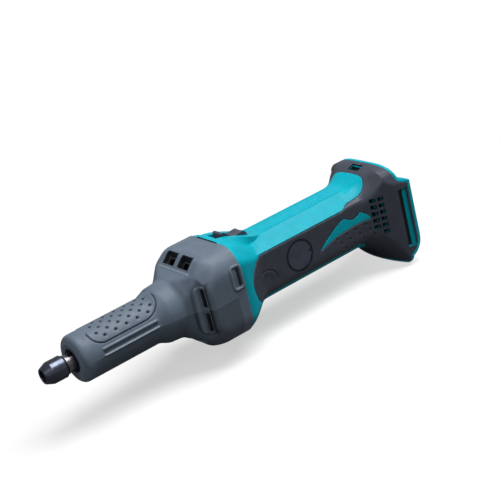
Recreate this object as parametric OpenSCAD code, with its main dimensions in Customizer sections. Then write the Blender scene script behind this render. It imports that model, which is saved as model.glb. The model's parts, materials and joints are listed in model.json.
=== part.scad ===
// Battery die grinder: a slim motor tool with a long spindle, a collet nut at the front and slide-on
// rails for a battery pack at the rear. X runs along the spindle from the collet's face (x = 0) to the
// rear, Z is up and Y is across. Every length is in millimetres.

/* [Collet and nut] */
// Radius of the collet's bore, for the shank of a bit
shank_bore_r = 3; // [2:0.05:3.4]
// Length of the collet
collet_l = 24; // [20:0.5:26]
// Radius of the collet's face
collet_face_r = 4.9; // [4.6:0.1:5]
// Radius of the collet where the nut's seat presses it
collet_seat_r = 5.7; // [5.4:0.1:5.9]
// Distance that the nut's rim stands in front of the collet's face
nut_lip = 2; // [0.5:0.1:3]
// Radius of the nut's mouth
nut_mouth_r = 5.2; // [5.1:0.05:5.6]
// Radius of the nut's front rim
nut_rim_r = 6.6; // [6.2:0.1:7.5]
// Outer radius of the nut
nut_r = 9.1; // [8.4:0.1:10]
// Length of the nut's conical nose
nut_cone_l = 6; // [4:0.5:8]
// Length of the whole nut
nut_l = 18.5; // [16:0.5:18.5]
// Radius of the thread between the nut and the spindle
thread_r = 6.6; // [6.4:0.1:7.2]

/* [Spindle] */
// Front end of the spindle
spindle_front = 5; // [4:0.5:7]
// Radius of the spindle's smooth shaft
shaft_r = 7; // [6.7:0.1:7.5]
// Distance across the two wrench flats
flats_w = 12; // [11:0.5:13]
// Length of the wrench flats
flats_l = 9; // [6:0.5:10]
// Radius of the stop ring behind the nut
stop_r = 7.8; // [7.5:0.1:8.5]
// Width of the stop ring
stop_w = 1.6; // [1:0.2:2.4]
// Centre of the front bearing
front_bearing_x = 46; // [45:0.5:52]
// Centre of the middle bearing
middle_bearing_x = 98; // [92:0.5:98]
// Centre of the bearing in front of the fan
fan_bearing_x = 127.5; // [126:0.5:128]
// Centre of the bearing behind the commutator
rear_bearing_x = 246; // [245.5:0.5:248]
// Radius of the spindle's tail in the coupling
tail_r = 5; // [4.5:0.1:5.5]
// Length of the coupling sleeve
coupling_l = 16; // [14:0.5:16]
// Radius of the coupling sleeve
coupling_r = 8.5; // [7.5:0.1:10]

/* [Bearings] */
// Spindle bearing: bore radius
spindle_brg_bore = 6; // [5.8:0.1:6.2]
// Spindle bearing: outer radius
spindle_brg_out = 14; // [13.6:0.1:14.2]
// Spindle bearing: width
spindle_brg_w = 8; // [7:0.5:9]
// Spindle bearing: ball radius
spindle_ball_r = 2.4; // [2:0.1:2.5]
// Armature shaft bearings: bore radius at the fan
fan_brg_bore = 4; // [3.8:0.1:4.2]
// Fan bearing: outer radius
fan_brg_out = 11; // [10.8:0.1:11.5]
// Fan bearing: width
fan_brg_w = 7; // [6:0.5:7]
// Fan bearing: ball radius
fan_ball_r = 2; // [1.6:0.1:2.1]
// Rear bearing: bore radius
rear_brg_bore = 3; // [2.8:0.1:3.2]
// Rear bearing: outer radius
rear_brg_out = 9.5; // [9:0.1:9.8]
// Rear bearing: width
rear_brg_w = 6; // [5:0.5:6]
// Rear bearing: ball radius
rear_ball_r = 1.7; // [1.4:0.1:1.8]
// Number of balls in a spindle bearing
spindle_balls = 8; // [6:1:9]
// Number of balls in a motor bearing
motor_balls = 7; // [5:1:7]

/* [Front boot] */
// Front face of the boot
boot_front = 24.5; // [24:0.5:27]
// Radius of the boot's mouth
mouth_r = 10; // [9:0.1:11]
// Radius of the barrel
barrel_r = 19.85; // [19.6:0.05:21]
// Rounding of the boot's nose
nose_round = 5.5; // [3:0.5:7]
// Wall of the boot
boot_wall = 3.2; // [2.8:0.1:3.3]
// Place where the barrel starts to flare
flare_x = 94; // [85:0.5:95]
// Radius of the neck behind the barrel
neck_r = 23.9; // [22.5:0.1:25]
// Place where the neck reaches its radius
neck_x = 107; // [104:0.5:109]
// Place where the neck opens into the shoulder
throat_x = 117; // [115:0.5:119]
// Front corner of the square shoulder
shoulder_x = 130; // [128:0.5:131]
// Half width of the shoulder at its front corner
shoulder_half = 29.3; // [28:0.1:31]
// Radius of the shoulder across its corners
shoulder_diag = 38.5; // [37:0.1:40]
// Half width of the square bulge
bulge_half = 38.8; // [38.2:0.1:40]
// Corner radius of the square bulge
bulge_corner = 22; // [18:0.5:24]
// Rear edge of the boot
boot_rear = 167; // [165:0.5:170]

/* [Boot details] */
// Height of the two slots in each side vent
vent_slot_h = 15.5; // [10:0.5:16]
// Width of each side slot
vent_slot_w = 4; // [2:0.1:4]
// Gap between the two slots of a side vent
vent_slot_gap = 5; // [4:0.5:8]
// Distance of the side slots from the middle
vent_slot_y = 31; // [30.5:0.1:32]
// Width of each window of the top vent
window_w = 15; // [10:0.5:17]
// Bar between the top windows
window_bar = 5; // [3:0.5:8]
// Front edge of the top windows
window_x = 131.5; // [131:0.5:134]
// Length of the top windows
window_l = 9; // [6:0.5:11]
// Front edge of the recess in the flat side
pocket_x = 157.5; // [156:0.5:160]
// Lower edge of the recess
pocket_z = 7; // [4:0.5:10]
// Height of the recess
pocket_h = 17.5; // [12:0.5:18]
// Depth of the recess
pocket_d = 2; // [1:0.1:2.2]
// Front end of the dimpled pad
pad_x = 39; // [38:0.5:41]
// Length of the dimpled pad
pad_l = 63; // [58:1:64]
// Half width of the dimpled pad
pad_half = 17.3; // [15:0.1:17.5]
// Depth of the groove round the pad
pad_groove = 0.8; // [0.4:0.1:1.2]
// Rows of dimples along the pad
pad_rows = 11; // [7:1:11]
// Front end of the two side ribs
rib_x = 43; // [40:0.5:50]
// Length of the side ribs
rib_l = 52; // [30:1:52]
// Height of a side rib
rib_h = 0.8; // [0.4:0.1:1.2]

/* [Bearing housing] */
// Front end of the metal tube
tube_front = 32; // [31.5:0.5:33]
// Wall of the metal bell
bell_wall = 2.6; // [2.2:0.1:3]
// Joint between the metal bell and the motor housing
bell_rear = 150; // [148:0.5:152]
// Rib that carries the fan bearing: thickness
spoke_t = 3; // [2:0.1:4]
// Radius of the four long screws
long_screw_r = 2; // [1.8:0.1:2.2]
// Depth of the long screws' axes under the bulge's flat sides
long_screw_in = 12.8; // [12.4:0.1:13]
// Radius of the bosses round the long screws
boss_r = 4.2; // [3.9:0.1:4.4]

/* [Motor] */
// Radius of the steel yoke
yoke_r = 22; // [21.8:0.05:22]
// Wall of the yoke
yoke_wall = 2.4; // [2:0.1:2.8]
// Front end of the yoke
yoke_x = 167; // [166.5:0.5:168]
// Length of the yoke
yoke_l = 57; // [54:0.5:57.5]
// Thickness of the magnets
magnet_t = 3; // [2.4:0.1:3]
// Angle that one magnet covers
magnet_angle = 116; // [100:2:130]
// Radius of the armature core
core_r = 16; // [15:0.1:16.1]
// Front end of the armature core
core_x = 179; // [177:0.5:181]
// Length of the armature core
core_l = 37; // [34:0.5:39]
// Number of slots in the armature core
core_slots = 12; // [8:1:14]
// Radius of the wire bundle in a slot
coil_r = 1.7; // [1.4:0.1:1.9]
// Length of the windings beyond each end of the core
coil_end = 8; // [6:0.5:8.5]
// Front end of the commutator
commutator_x = 226; // [225:0.5:227]
// Length of the commutator
commutator_l = 14; // [12:0.5:15]
// Radius of the commutator
commutator_r = 11; // [10:0.1:11.5]
// Radius of the armature's shaft
motor_shaft_r = 4; // [3.8:0.05:4.2]

/* [Fan] */
// Distance from the fan's tips to the bulge's flat sides
fan_in = 9.3; // [9:0.1:11]
// Front of the fan's blades
fan_x = 140; // [139.5:0.5:141]
// Length of the fan
fan_l = 15; // [12:0.5:15.5]
// Number of blades
fan_blades = 11; // [7:1:15]
// Thickness of a blade
blade_t = 1.4; // [1:0.1:2]

/* [Brushes] */
// Section of a carbon brush along the commutator
brush_w = 8; // [6:0.5:9]
// Section of a carbon brush across the commutator
brush_h = 5; // [4:0.5:6]
// Length of a carbon brush
brush_l = 7; // [5:0.5:8]
// Wall of a brush holder
holder_wall = 0.6; // [0.4:0.1:1]
// Radius of the round brush cap
cap_r = 12; // [11:0.1:12.5]
// Thickness of the brush cap
cap_t = 1.8; // [1.4:0.1:2]

/* [Housing] */
// Half width of the collar behind the boot
collar_half = 37.6; // [37:0.1:38]
// Corner radius of the collar
collar_corner = 18; // [14:0.5:20]
// Length of the collar
collar_l = 31; // [28:0.5:34]
// Half width of the handle
handle_half = 25; // [24.9:0.1:26.5]
// Distance of the handle's underside below the axis
handle_bottom = 25.5; // [25.2:0.1:27]
// Corner radius of the handle's underside
handle_corner = 13.5; // [10:0.5:14]
// Height of the handle's spine above the axis
spine_z = 27.2; // [27:0.1:28.5]
// Half width of the flat spine
spine_half = 11; // [9:0.5:12]
// Height of the lower edge of the sloping side face
face_z = 17.5; // [16:0.5:19]
// Height of the switch deck at its front
deck_z = 39.6; // [38.9:0.1:41]
// Half width of the switch deck
deck_half = 13; // [11:0.5:15]
// Length of the slope from the deck down to the spine
deck_l = 48; // [44:0.5:52]
// Wall of the housing
wall = 2.8; // [2.5:0.1:2.9]

/* [Rear flange] */
// Start of the flange's flare
flange_x = 298; // [296:0.5:300]
// Half width of the flange
flange_half = 37.5; // [36.5:0.1:38.5]
// Height of the flange's crown
crown_z = 38.1; // [37:0.1:40]
// Face of the battery plate
plate_x = 338; // [337:0.5:339]
// Start of the arch under the handle
arch_x = 294; // [290:0.5:296]
// Distance of the flange's foot below the axis
foot_z = 53.5; // [52.5:0.5:54.5]
// Corner radius of the flange seen from the rear
flange_corner = 8; // [6:0.5:10]
// Rear edge of the side ears
ear_x = 351.8; // [350:0.1:353]
// Height of the top of the ears
ear_top = 20.9; // [18:0.1:23]
// Distance of the lower end of the ears below the axis
ear_bottom = 48; // [46.5:0.5:49]
// Rounding of the ears' lower corner
ear_round = 16; // [14:0.5:17]
// Half width of the bay between the rails
bay_half = 28; // [27:0.1:29]
// Depth of the groove in each rail
rail_groove = 3; // [2:0.1:4]
// Thickness of the lip behind each groove
rail_lip = 4.6; // [3:0.1:5.5]
// Gap between the plate and the groove
rail_step = 2.4; // [1.5:0.1:3]

/* [Grips] */
// Thickness of the soft grips
grip_t = 1.4; // [1.2:0.1:1.6]
// Height of the grips' lower edge below the axis
grip_low = 19.5; // [18:0.5:21]
// Front end of the grips
grip_front = 177; // [175:0.5:180]
// Visible width of the housing's rim at the ears
rim_w = 2.6; // [2:0.1:3.5]
// Gap round each grip
seam = 0.1; // [0.05:0.05:0.2]
// Rear end of the rounded end of the spine
dome_x = 320.5; // [318:0.5:322]
// Half width of the latch window in the crown
window_half = 7; // [5:0.5:8]
// Rows of cooling slots in each side of the flange
slot_rows = 5; // [3:1:5]

/* [Switch] */
// Travel of the switch knob
switch_travel = 5; // [3:0.5:5]
// Front end of the knob at rest
knob_x = 176.5; // [174:0.5:177]
// Length of the knob
knob_l = 24; // [22:0.5:26]
// Half width of the knob
knob_half = 6; // [5.5:0.1:7]
// Height of the knob's front lip above the axis
lip_z = 40.8; // [40.4:0.1:42]
// Height of the knob's hump above the axis
hump_z = 37; // [36.4:0.1:38]
// Rocking angle that locks the knob
lock_angle = 1.5; // [0.5:0.5:2]
// Thickness of the switch link
link_t = 1.2; // [1:0.1:1.3]
// Half width of the switch link
link_half = 5; // [4:0.5:6]
// Length of the return spring at rest
spring_l = 14.5; // [12:0.5:15]
// Radius of the return spring
spring_r = 2.1; // [1.6:0.1:2.2]
// Radius of the return spring's wire
spring_wire = 0.35; // [0.3:0.05:0.4]
// Turns of the return spring
spring_turns = 6; // [4:1:8]
// Front face of the switch body
switch_x = 264; // [262:0.5:265]
// Length of the switch body
switch_l = 28; // [24:0.5:29]

/* [Electrics] */
// Front end of the speed controller
controller_x = 296; // [295:0.5:298]
// Length of the speed controller
controller_l = 28; // [22:0.5:30]
// Half width of the terminal block
block_half = 24; // [22:0.5:26]
// Top of the terminal block below the axis
block_top = 20; // [18:0.5:24]
// Distance between the two power blades
blade_gap = 38; // [34:0.5:42]
// Thickness of a contact blade
contact_t = 0.8; // [0.6:0.1:1]
// Height of a contact blade
contact_h = 12; // [8:0.5:13]
// Radius of an internal lead
lead_r = 1.1; // [0.8:0.1:1.3]

/* [Fasteners] */
// Radius of the housing screws
screw_r = 1.9; // [1.6:0.1:2]
// Radius of a housing screw's head
screw_head_r = 3.4; // [3:0.1:3.6]
// Length of a housing screw
screw_l = 22; // [18:0.5:24]

/* [Hidden] */

// Facets of a round part
fine = 72;
// Radial clearance of a running fit
play = 0.05;
// Radial clearance of a seated part
seat = 0.02;
// Overrun of a cut past the surface that it opens
over = 1;
// Half of a block that is larger than the tool
big = 70;

// Widths of the bearing retainer, of the preload washer and of the groove behind the nut
retainer_w = 6;
washer_t = 0.8;
groove_w = 0.8;
stop_x = nut_l - nut_lip + groove_w;
flats_x = stop_x + stop_w + 2;
front_seat_x = front_bearing_x - spindle_brg_w / 2;
middle_end_x = middle_bearing_x + spindle_brg_w / 2;
// Rear end of the spindle's tail and front end of the coupling on it
tail_end = middle_end_x + 11.5;
coupling_x = middle_end_x + 4;
fan_brg_x0 = fan_bearing_x - fan_brg_w / 2;
rear_brg_x0 = rear_bearing_x - rear_brg_w / 2;
shaft_end = rear_bearing_x + rear_brg_w / 2 + 0.5;
// Lengths of the bulge's front slope, at the sides and on top
bevel_l = 6;
top_bevel_l = 14;
// Place of the long screws' heads, and their distance from the axis in Y and Z
long_head_x = shoulder_x + 13.5;
long_screw_at = bulge_half - long_screw_in;
fan_r = bulge_half - fan_in;
// Corner of the square round the bulge, and how far the slope's diagonals stay inside it
bulge_diag = bulge_half * sqrt(2);
diag_in = 11.9;
diag_rear_in = 8.3;
inner_half = bulge_half - boot_wall - seat;
inner_corner = bulge_corner - boot_wall;
// Wall of the housing's front ring, and the baffle behind the fan with its air hole
ring_wall = 3;
baffle_x = fan_x + fan_l + 2.5;
baffle_t = 2;
air_hole_r = 20.5;
brush_x = commutator_x + commutator_l / 2;
// Underside and thickness of the knob's base
knob_base_z = 24.2;
knob_base_t = 1.6;
link_z = knob_base_z - link_t - 0.2;
// Top and half width of the switch body, and width of the step beside the spine
switch_top = 17.2;
switch_half = 8.5;
ridge_step = 1.5;
cavity_rear = plate_x - wall;
motor_bay_r = yoke_r + seat;
motor_bay_end = rear_brg_x0 + 15;

bay_floor = ear_bottom - 6.5;
// Terminal block: its depth, and height of its lower, deeper part
block_d = 8.5;
block_step = 6;
// Blades: slots in the block, and their lower ends below its top
blade_slot_l = 4.5;
blade_foot = 12;
// Battery leads: distance from the bay's wall, and height where they leave the plate
lead_in = 18;
lead_low = -30;
// Places (x, z) of the housing screws
screw_places = [[174, -29.5], [254, 16.5], [262, -18.5], [292, -18.5], [326, -33], [326, 26]];

// Points of an arc about c
function arc(c, r, a0, a1, n = 6) =
    [for (i = [0:n]) c + r * [cos(a0 + (a1 - a0) * i / n), sin(a0 + (a1 - a0) * i / n)]];
// Smooth step from 0 to 1
function ease(t) = let(u = max(0, min(1, t))) u * u * (3 - 2 * u);
// Points of a smooth change from v0 at x0 to v1 at x1
function swept(x0, x1, v0, v1, n = 8) = [for (i = [0:n]) [x0 + (x1 - x0) * i / n, v0 + (v1 - v0)
    * ease(i / n)]];
function backwards(p) = [for (i = [len(p) - 1:-1:0]) p[i]];
function flipped(p) = [for (q = p) [q[1], q[0]]];
// Closed outline whose upper half is p
function both_sides(p) = concat(p, [for (q = backwards(p)) [q[0], -q[1]]]);
// Rectangle with round corners
function rounded(hy, hz, r, n = 6) = concat(arc([hy - r, hz - r], r, 0, 90, n), arc([r - hy, hz - r],
    r, 90, 180, n),
    arc([r - hy, r - hz], r, 180, 270, n), arc([hy - r, r - hz], r, 270, 360, n));

// Turned about the spindle's axis: points are [radius, x]
module turned(p) rotate([90, 0, 90]) rotate_extrude($fn = fine) polygon(p);
// Outline in Y and Z carried from x0 to x1
module bar(x0, x1) rotate([90, 0, 90]) translate([0, 0, x0]) linear_extrude(x1 - x0) children();
// Outline in X and Z carried across Y from y0 to y1
module across(y0, y1) translate([0, y1, 0]) rotate([90, 0, 0]) linear_extrude(y1 - y0) children();
// Outline in X and Y carried up from z0 to z1
module raised(z0, z1) translate([0, 0, z0]) linear_extrude(z1 - z0) children();
module rod(r, x0, x1) translate([x0, 0, 0]) rotate([0, 90, 0]) cylinder(r = r, h = x1 - x0, $fn = fine);
module ring(r0, r1, x0, x1) difference() { rod(r1, x0, x1); rod(r0, x0 - over, x1 + over); }
// Pin along Y from y0 to y1 at x, z
module cross_pin(r, x, z, y0, y1) translate([x, y1, z]) rotate([90, 0, 0]) cylinder(r = r, h = y1 - y0,
    $fn = 48);
module block(x0, x1, y0, y1, z0, z1) translate([x0, y0, z0]) cube([x1 - x0, y1 - y0, z1 - z0]);
module both_y() { children(); mirror([0, 1, 0]) children(); }
module four_corners(at) for (sy = [-1, 1], sz = [-1, 1]) translate([0, sy * at, sz * at]) children();
// Round tube through the given points
module lead(points, r) {
    for (i = [0:len(points) - 2]) {
        a = points[i];
        b = points[i + 1];
        v = b - a;
        translate(a) rotate([0, acos(v[2] / norm(v)), atan2(v[1], v[0])]) cylinder(r = r, h = norm(v),
            $fn = 24);
    }
    for (i = [1:1:len(points) - 2]) translate(points[i]) sphere(r = r, $fn = 24);
}
// Helical spring along Z from 0 to l
module coil(r, wire, l, turns, steps = 14, sides = 6) {
    n = turns * steps;
    points = [for (i = [0:n], k = [0:sides - 1])
        let(a = 360 * i / steps, b = 360 * k / sides, q = r + wire * cos(b))
        [q * cos(a), q * sin(a), wire + (l - 2 * wire) * i / n + wire * sin(b)]];
    skin = [for (i = [0:n - 1], k = [0:sides - 1]) let(k2 = (k + 1) % sides)
        [i * sides + k, (i + 1) * sides + k, (i + 1) * sides + k2, i * sides + k2]];
    polyhedron(points, concat([[for (k = [0:sides - 1]) k]], skin, [[for (k = [sides - 1:-1:0])
        n * sides + k]]));
}

// Outer form of the boot, moved inwards by d and cut off at x0 and x1
function nose_points(d, x0) = d > 0 ? [[barrel_r - d, x0]] :
    arc([barrel_r - nose_round - d, x0 + nose_round], nose_round, -90, 0);
function neck_points(d) = flipped(swept(flare_x, neck_x, barrel_r - d, neck_r - d, 6));
function shoulder_points(d, length, x1) = [[neck_x, 0], [neck_x, neck_r - d], [throat_x + 1,
    neck_r + 0.9 - d],
    [shoulder_x + 0.7 * d, shoulder_half - 0.8 * d], [shoulder_x + 0.6 * length + 0.65 * d,
        bulge_half - 1.5 - 0.95 * d],
    [shoulder_x + length + 0.6 * d, bulge_half - d], [x1, bulge_half - d], [x1, 0]];
function corner_points(d, x1) = [[0, neck_x], [neck_r + 0.2 - d, neck_x], [neck_r + 1 - d, throat_x],
    [29.2 - 0.85 * d, throat_x + 5 + 0.5 * d], [shoulder_diag - 0.75 * d, shoulder_x + 0.6 * d],
    [bulge_diag - diag_in - 0.9 * d, shoulder_x + bevel_l + 2 + 0.5 * d],
    [bulge_diag - diag_rear_in - d, shoulder_x + top_bevel_l + 3 + 0.4 * d],
    [bulge_diag, boot_rear], [bulge_diag, x1 + over], [0, x1 + over]];
module boot_form(d, x0, x1) {
    turned(concat([[0, x0]], nose_points(d, x0), neck_points(d), [[neck_r + 0.9 - d, throat_x + 1], [0,
        throat_x + 1]]));
    intersection() {
        across(-big, big) polygon(concat(shoulder_points(d, top_bevel_l, x1),
            [for (q = backwards(shoulder_points(d, bevel_l, x1))) [q[0], -q[1]]]));
        raised(-big, big) polygon(both_sides(shoulder_points(d, bevel_l, x1)));
        turned(corner_points(d, x1));
        bar(neck_x, x1) polygon(rounded(bulge_half - d, bulge_half - d, bulge_corner - d));
    }
}
// Openings of the vents in the shoulder, through the boot and the metal bell
module vent_cuts() {
    both_y() for (s = [-1, 1]) mirror([0, 0, s < 0 ? 1 : 0])
        block(throat_x, shoulder_x + 10, vent_slot_y - vent_slot_w / 2, vent_slot_y + vent_slot_w / 2,
            vent_slot_gap / 2, vent_slot_gap / 2 + vent_slot_h);
    both_y() block(throat_x, shoulder_x + 10, vent_slot_gap / 2, vent_slot_gap / 2 + vent_slot_h,
        -vent_slot_y - vent_slot_w / 2, -vent_slot_y + vent_slot_w / 2);
    both_y() block(window_x, window_x + window_l, window_bar / 2, window_bar / 2 + window_w,
        vent_slot_y - 5, big);
}
frame_h = vent_slot_gap / 2 + vent_slot_h + 3;
// Height of the frames round the vents: at the sides, below and on top
side_frame = 0.8;
low_frame = 2;
top_frame = 0.4;
module raised_frame(h) intersection() {
    boot_form(-h, boot_front, shoulder_x + bevel_l);
    children();
}
module vent_frames() {
    raised_frame(side_frame) both_y()
        block(throat_x, shoulder_x + bevel_l - 1, vent_slot_y - 3.5, bulge_half - 2, -frame_h, frame_h);
    raised_frame(low_frame)
        block(throat_x, shoulder_x + bevel_l - 1, -frame_h, frame_h, 2 - bulge_half, 3.5 - vent_slot_y);
    raised_frame(top_frame)
        block(throat_x, shoulder_x + bevel_l, -frame_h, frame_h, vent_slot_y - 2.5, bulge_half - 2);
}
// Height of the pad, rounding of its front and rear corners, and angle between its rows of dimples
pad_rise = 0.4;
pad_nose = 9;
pad_tail = 13.5;
dimple_turn = 6.7;
module pad_outline(grow) {
    x1 = pad_x + pad_l;
    polygon(concat(arc([pad_x + pad_nose, pad_half - pad_nose], pad_nose + grow, 90, 180),
        arc([pad_x + pad_nose, pad_nose - pad_half], pad_nose + grow, 180, 270),
        arc([x1 - pad_tail, pad_tail - pad_half], pad_tail + grow, 270, 360),
        arc([x1 - pad_tail, pad_half - pad_tail], pad_tail + grow, 0, 90)));
}

module front_boot() color("slategray") difference() {
    union() {
        boot_form(0, boot_front, boot_rear);
        vent_frames();
        intersection() {
            ring(barrel_r - boot_wall / 2, barrel_r + pad_rise, pad_x - over, flare_x + 4);
            raised(0, big) pad_outline(0);
        }
        both_y() for (z = [0, 4.9]) block(rib_x, rib_x + rib_l, barrel_r - 2, barrel_r + rib_h, z,
            z + 1.4);
    }
    boot_form(boot_wall, tube_front - seat, boot_rear + over);
    rod(mouth_r, boot_front - over, tube_front + over);
    intersection() {
        ring(barrel_r - pad_groove, barrel_r + 4, pad_x - 2, flare_x + 3);
        raised(0, big) difference() { pad_outline(0.9); pad_outline(0); }
    }
    for (i = [0:pad_rows - 1], j = [-2:1]) let(a = dimple_turn * (4 * j + (i % 2 == 0 ? 1 : 3)))
        translate([pad_x + 6.4 + i * (pad_l - 13) / (pad_rows - 1), 0, 0]) rotate([a, 0, 0])
        translate([0, 0, barrel_r - 0.3]) cylinder(r = 1, h = 4, $fn = 16);
    vent_cuts();
    both_y() block(pocket_x, boot_rear + over, bulge_half - pocket_d, bulge_half + over, pocket_z,
        pocket_z + pocket_h);
}

module bearing_housing() color("silver") difference() {
    union() {
        difference() {
            boot_form(boot_wall + seat, tube_front, bell_rear);
            intersection() {
                boot_form(boot_wall + bell_wall, tube_front, bell_rear + over);
                block(neck_x + 1, big + bell_rear, -big, big, -big, big);
            }
        }
        intersection() {
            boot_form(boot_wall + 1, tube_front, bell_rear);
            union() {
                for (a = [45:90:315]) rotate([a, 0, 0])
                    block(neck_x, fan_bearing_x + 4, -spoke_t / 2, spoke_t / 2, fan_brg_out + 1.5, big);
                four_corners(long_screw_at) rod(boss_r, long_head_x - 3.5, bell_rear);
            }
        }
        rod(fan_brg_out + 3, neck_x + 1.5, fan_bearing_x + fan_brg_w / 2 + 1);
    }
    rod(spindle_brg_out + seat, tube_front - over, middle_end_x + washer_t);
    rod(spindle_brg_out - 1.8, 0, fan_brg_x0 - 2);
    rod(fan_brg_out + seat, fan_brg_x0 - 0.2, big + bell_rear);
    rod(fan_brg_out - 1.5, 0, bell_rear);
    vent_cuts();
    four_corners(long_screw_at) {
        rod(long_screw_r + play, shoulder_x - over, bell_rear + over);
        rod(screw_head_r + 0.1, throat_x, long_head_x);
    }
}
module long_screws() color("dimgray") four_corners(long_screw_at) difference() {
    union() {
        rod(screw_head_r, long_head_x - 2.5, long_head_x);
        rod(long_screw_r, long_head_x - 0.5, boot_rear - 3);
    }
    rotate([0, 90, 0]) translate([0, 0, long_head_x - 3.5]) cylinder(r = 1.6, h = 2.2, $fn = 6);
}

// One bearing is [bore radius, outer radius, width, ball radius, number of balls]
spindle_brg = [spindle_brg_bore, spindle_brg_out, spindle_brg_w, spindle_ball_r, spindle_balls];
fan_brg = [fan_brg_bore, fan_brg_out, fan_brg_w, fan_ball_r, motor_balls];
rear_brg = [rear_brg_bore, rear_brg_out, rear_brg_w, rear_ball_r, motor_balls];
function pitch_r(b) = (b[0] + b[1]) / 2;
module raceway(b) rotate([0, 90, 0]) rotate_extrude($fn = fine) translate([pitch_r(b), 0])
    circle(r = b[3] + play, $fn = 32);
module bearing_outer(b, x) color("lightgray") translate([x, 0, 0]) difference() {
    ring(pitch_r(b) + 0.68 * b[3], b[1], -b[2] / 2, b[2] / 2);
    raceway(b);
}
module bearing_inner(b, x) color("lightgray") translate([x, 0, 0]) difference() {
    ring(b[0], pitch_r(b) - 0.68 * b[3], -b[2] / 2, b[2] / 2);
    raceway(b);
}
module bearing_balls(b, x) color("gainsboro") translate([x, 0, 0]) for (i = [0:b[4] - 1])
    rotate([360 * i / b[4], 0, 0]) translate([0, 0, pitch_r(b)]) sphere(r = b[3], $fn = 32);
module bearing_cage(b, x) color("goldenrod") translate([x, 0, 0]) difference() {
    ring(pitch_r(b) - 0.25 * b[3], pitch_r(b) + 0.25 * b[3], -1.3 * b[3], 1.3 * b[3]);
    for (i = [0:b[4] - 1]) rotate([360 * i / b[4], 0, 0]) translate([0, 0, pitch_r(b)])
        sphere(r = b[3] + play, $fn = 32);
}
module front_bearing_outer() bearing_outer(spindle_brg, front_bearing_x);
module front_bearing_inner() bearing_inner(spindle_brg, front_bearing_x);
module front_bearing_balls() bearing_balls(spindle_brg, front_bearing_x);
module front_bearing_cage() bearing_cage(spindle_brg, front_bearing_x);
module middle_bearing_outer() bearing_outer(spindle_brg, middle_bearing_x);
module middle_bearing_inner() bearing_inner(spindle_brg, middle_bearing_x);
module middle_bearing_balls() bearing_balls(spindle_brg, middle_bearing_x);
module middle_bearing_cage() bearing_cage(spindle_brg, middle_bearing_x);
module fan_bearing_outer() bearing_outer(fan_brg, fan_bearing_x);
module fan_bearing_inner() bearing_inner(fan_brg, fan_bearing_x);
module fan_bearing_balls() bearing_balls(fan_brg, fan_bearing_x);
module fan_bearing_cage() bearing_cage(fan_brg, fan_bearing_x);
module rear_bearing_outer() bearing_outer(rear_brg, rear_bearing_x);
module rear_bearing_inner() bearing_inner(rear_brg, rear_bearing_x);
module rear_bearing_balls() bearing_balls(rear_brg, rear_bearing_x);
module rear_bearing_cage() bearing_cage(rear_brg, rear_bearing_x);

// Taper of the collet's tail and of its seat in the spindle
tail_x = spindle_front - 0.5;
collet_end_r = 4.3;
function taper(c) = [[0, tail_x], [collet_seat_r - 0.2 + c, tail_x], [collet_end_r + c, collet_l], [0,
    collet_l]];
module collet_cone() color("dimgray") difference() {
    union() {
        turned(taper(0));
        turned([[0, 0], [collet_face_r, 0], [collet_face_r, 0.6], [collet_seat_r, 3], [collet_seat_r,
            3.6],
            [collet_seat_r - 0.2, 4.2], [collet_seat_r - 0.2, tail_x + 0.1], [0, tail_x + 0.1]]);
    }
    rod(shank_bore_r, -over, collet_l + over);
    for (a = [0, 120, 240]) rotate([a, 0, 0]) block(-over, collet_l - 5, -0.35, 0.35, 0,
        collet_seat_r + over);
}
module collet_nut() color("dimgray") difference() {
    turned([[0, -nut_lip], [nut_rim_r - 0.4, -nut_lip], [nut_rim_r, 0.4 - nut_lip], [nut_r - 0.2,
        nut_cone_l - nut_lip],
        [nut_r, nut_cone_l - nut_lip + 0.4], [nut_r, nut_l - nut_lip - 0.8], [nut_r - 0.8,
            nut_l - nut_lip],
        [0, nut_l - nut_lip]]);
    turned([[0, -nut_lip - over], [nut_mouth_r + 0.5, -nut_lip - 0.01], [nut_mouth_r, 0.6 - nut_lip],
        [nut_mouth_r, 0.6],
        [collet_seat_r + 0.08, 2.9], [collet_seat_r + 0.08, 4], [thread_r + play, 4.6],
            [thread_r + play, nut_l], [0, nut_l]]);
}
module spindle() color("gainsboro") difference() {
    union() {
        rod(thread_r, spindle_front, stop_x - groove_w);
        rod(thread_r - 0.5, stop_x - groove_w - 0.1, stop_x + 0.1);
        turned([[0, stop_x], [stop_r - 0.3, stop_x], [stop_r, stop_x + 0.3], [stop_r,
            stop_x + stop_w - 0.3],
            [stop_r - 0.4, stop_x + stop_w], [0, stop_x + stop_w]]);
        rod(shaft_r, stop_x + 0.5, front_seat_x - 6);
        rod(spindle_brg_bore - seat, front_seat_x - 7, middle_end_x);
        rod(shaft_r, front_seat_x + spindle_brg_w, middle_end_x - spindle_brg_w);
        rod(tail_r, middle_end_x - over, tail_end);
    }
    turned(concat([[0, spindle_front - over], [collet_seat_r + play, spindle_front - over]],
        [for (q = taper(play)) if (q[0] > 0 && q[1] > tail_x) q], [[shank_bore_r + 0.3, collet_l],
            [shank_bore_r + 0.3, collet_l + 10],
        [0, collet_l + 12]]));
    for (s = [0, 1]) mirror([0, 0, s]) block(flats_x, flats_x + flats_l, -big, big, flats_w / 2, big);
}
module labyrinth_ring() color("silver") difference() {
    turned([[0, front_seat_x - 6], [shaft_r + 3.6, front_seat_x - 6], [shaft_r + 3.6, front_seat_x - 4],
        [shaft_r + 1.4, front_seat_x - 4], [shaft_r + 1.4, front_seat_x], [0, front_seat_x]]);
    rod(spindle_brg_bore + seat, 0, front_seat_x + over);
}
module bearing_retainer() color("darkgray") difference() {
    ring(shaft_r + 4.2, spindle_brg_out - play, front_seat_x - retainer_w, front_seat_x);
    for (a = [30:60:330]) rotate([a, 0, 0])
        block(front_seat_x - retainer_w - over, front_seat_x - retainer_w + 2, -1.5, 1.5, shaft_r,
            spindle_brg_out + over);
}
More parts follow.
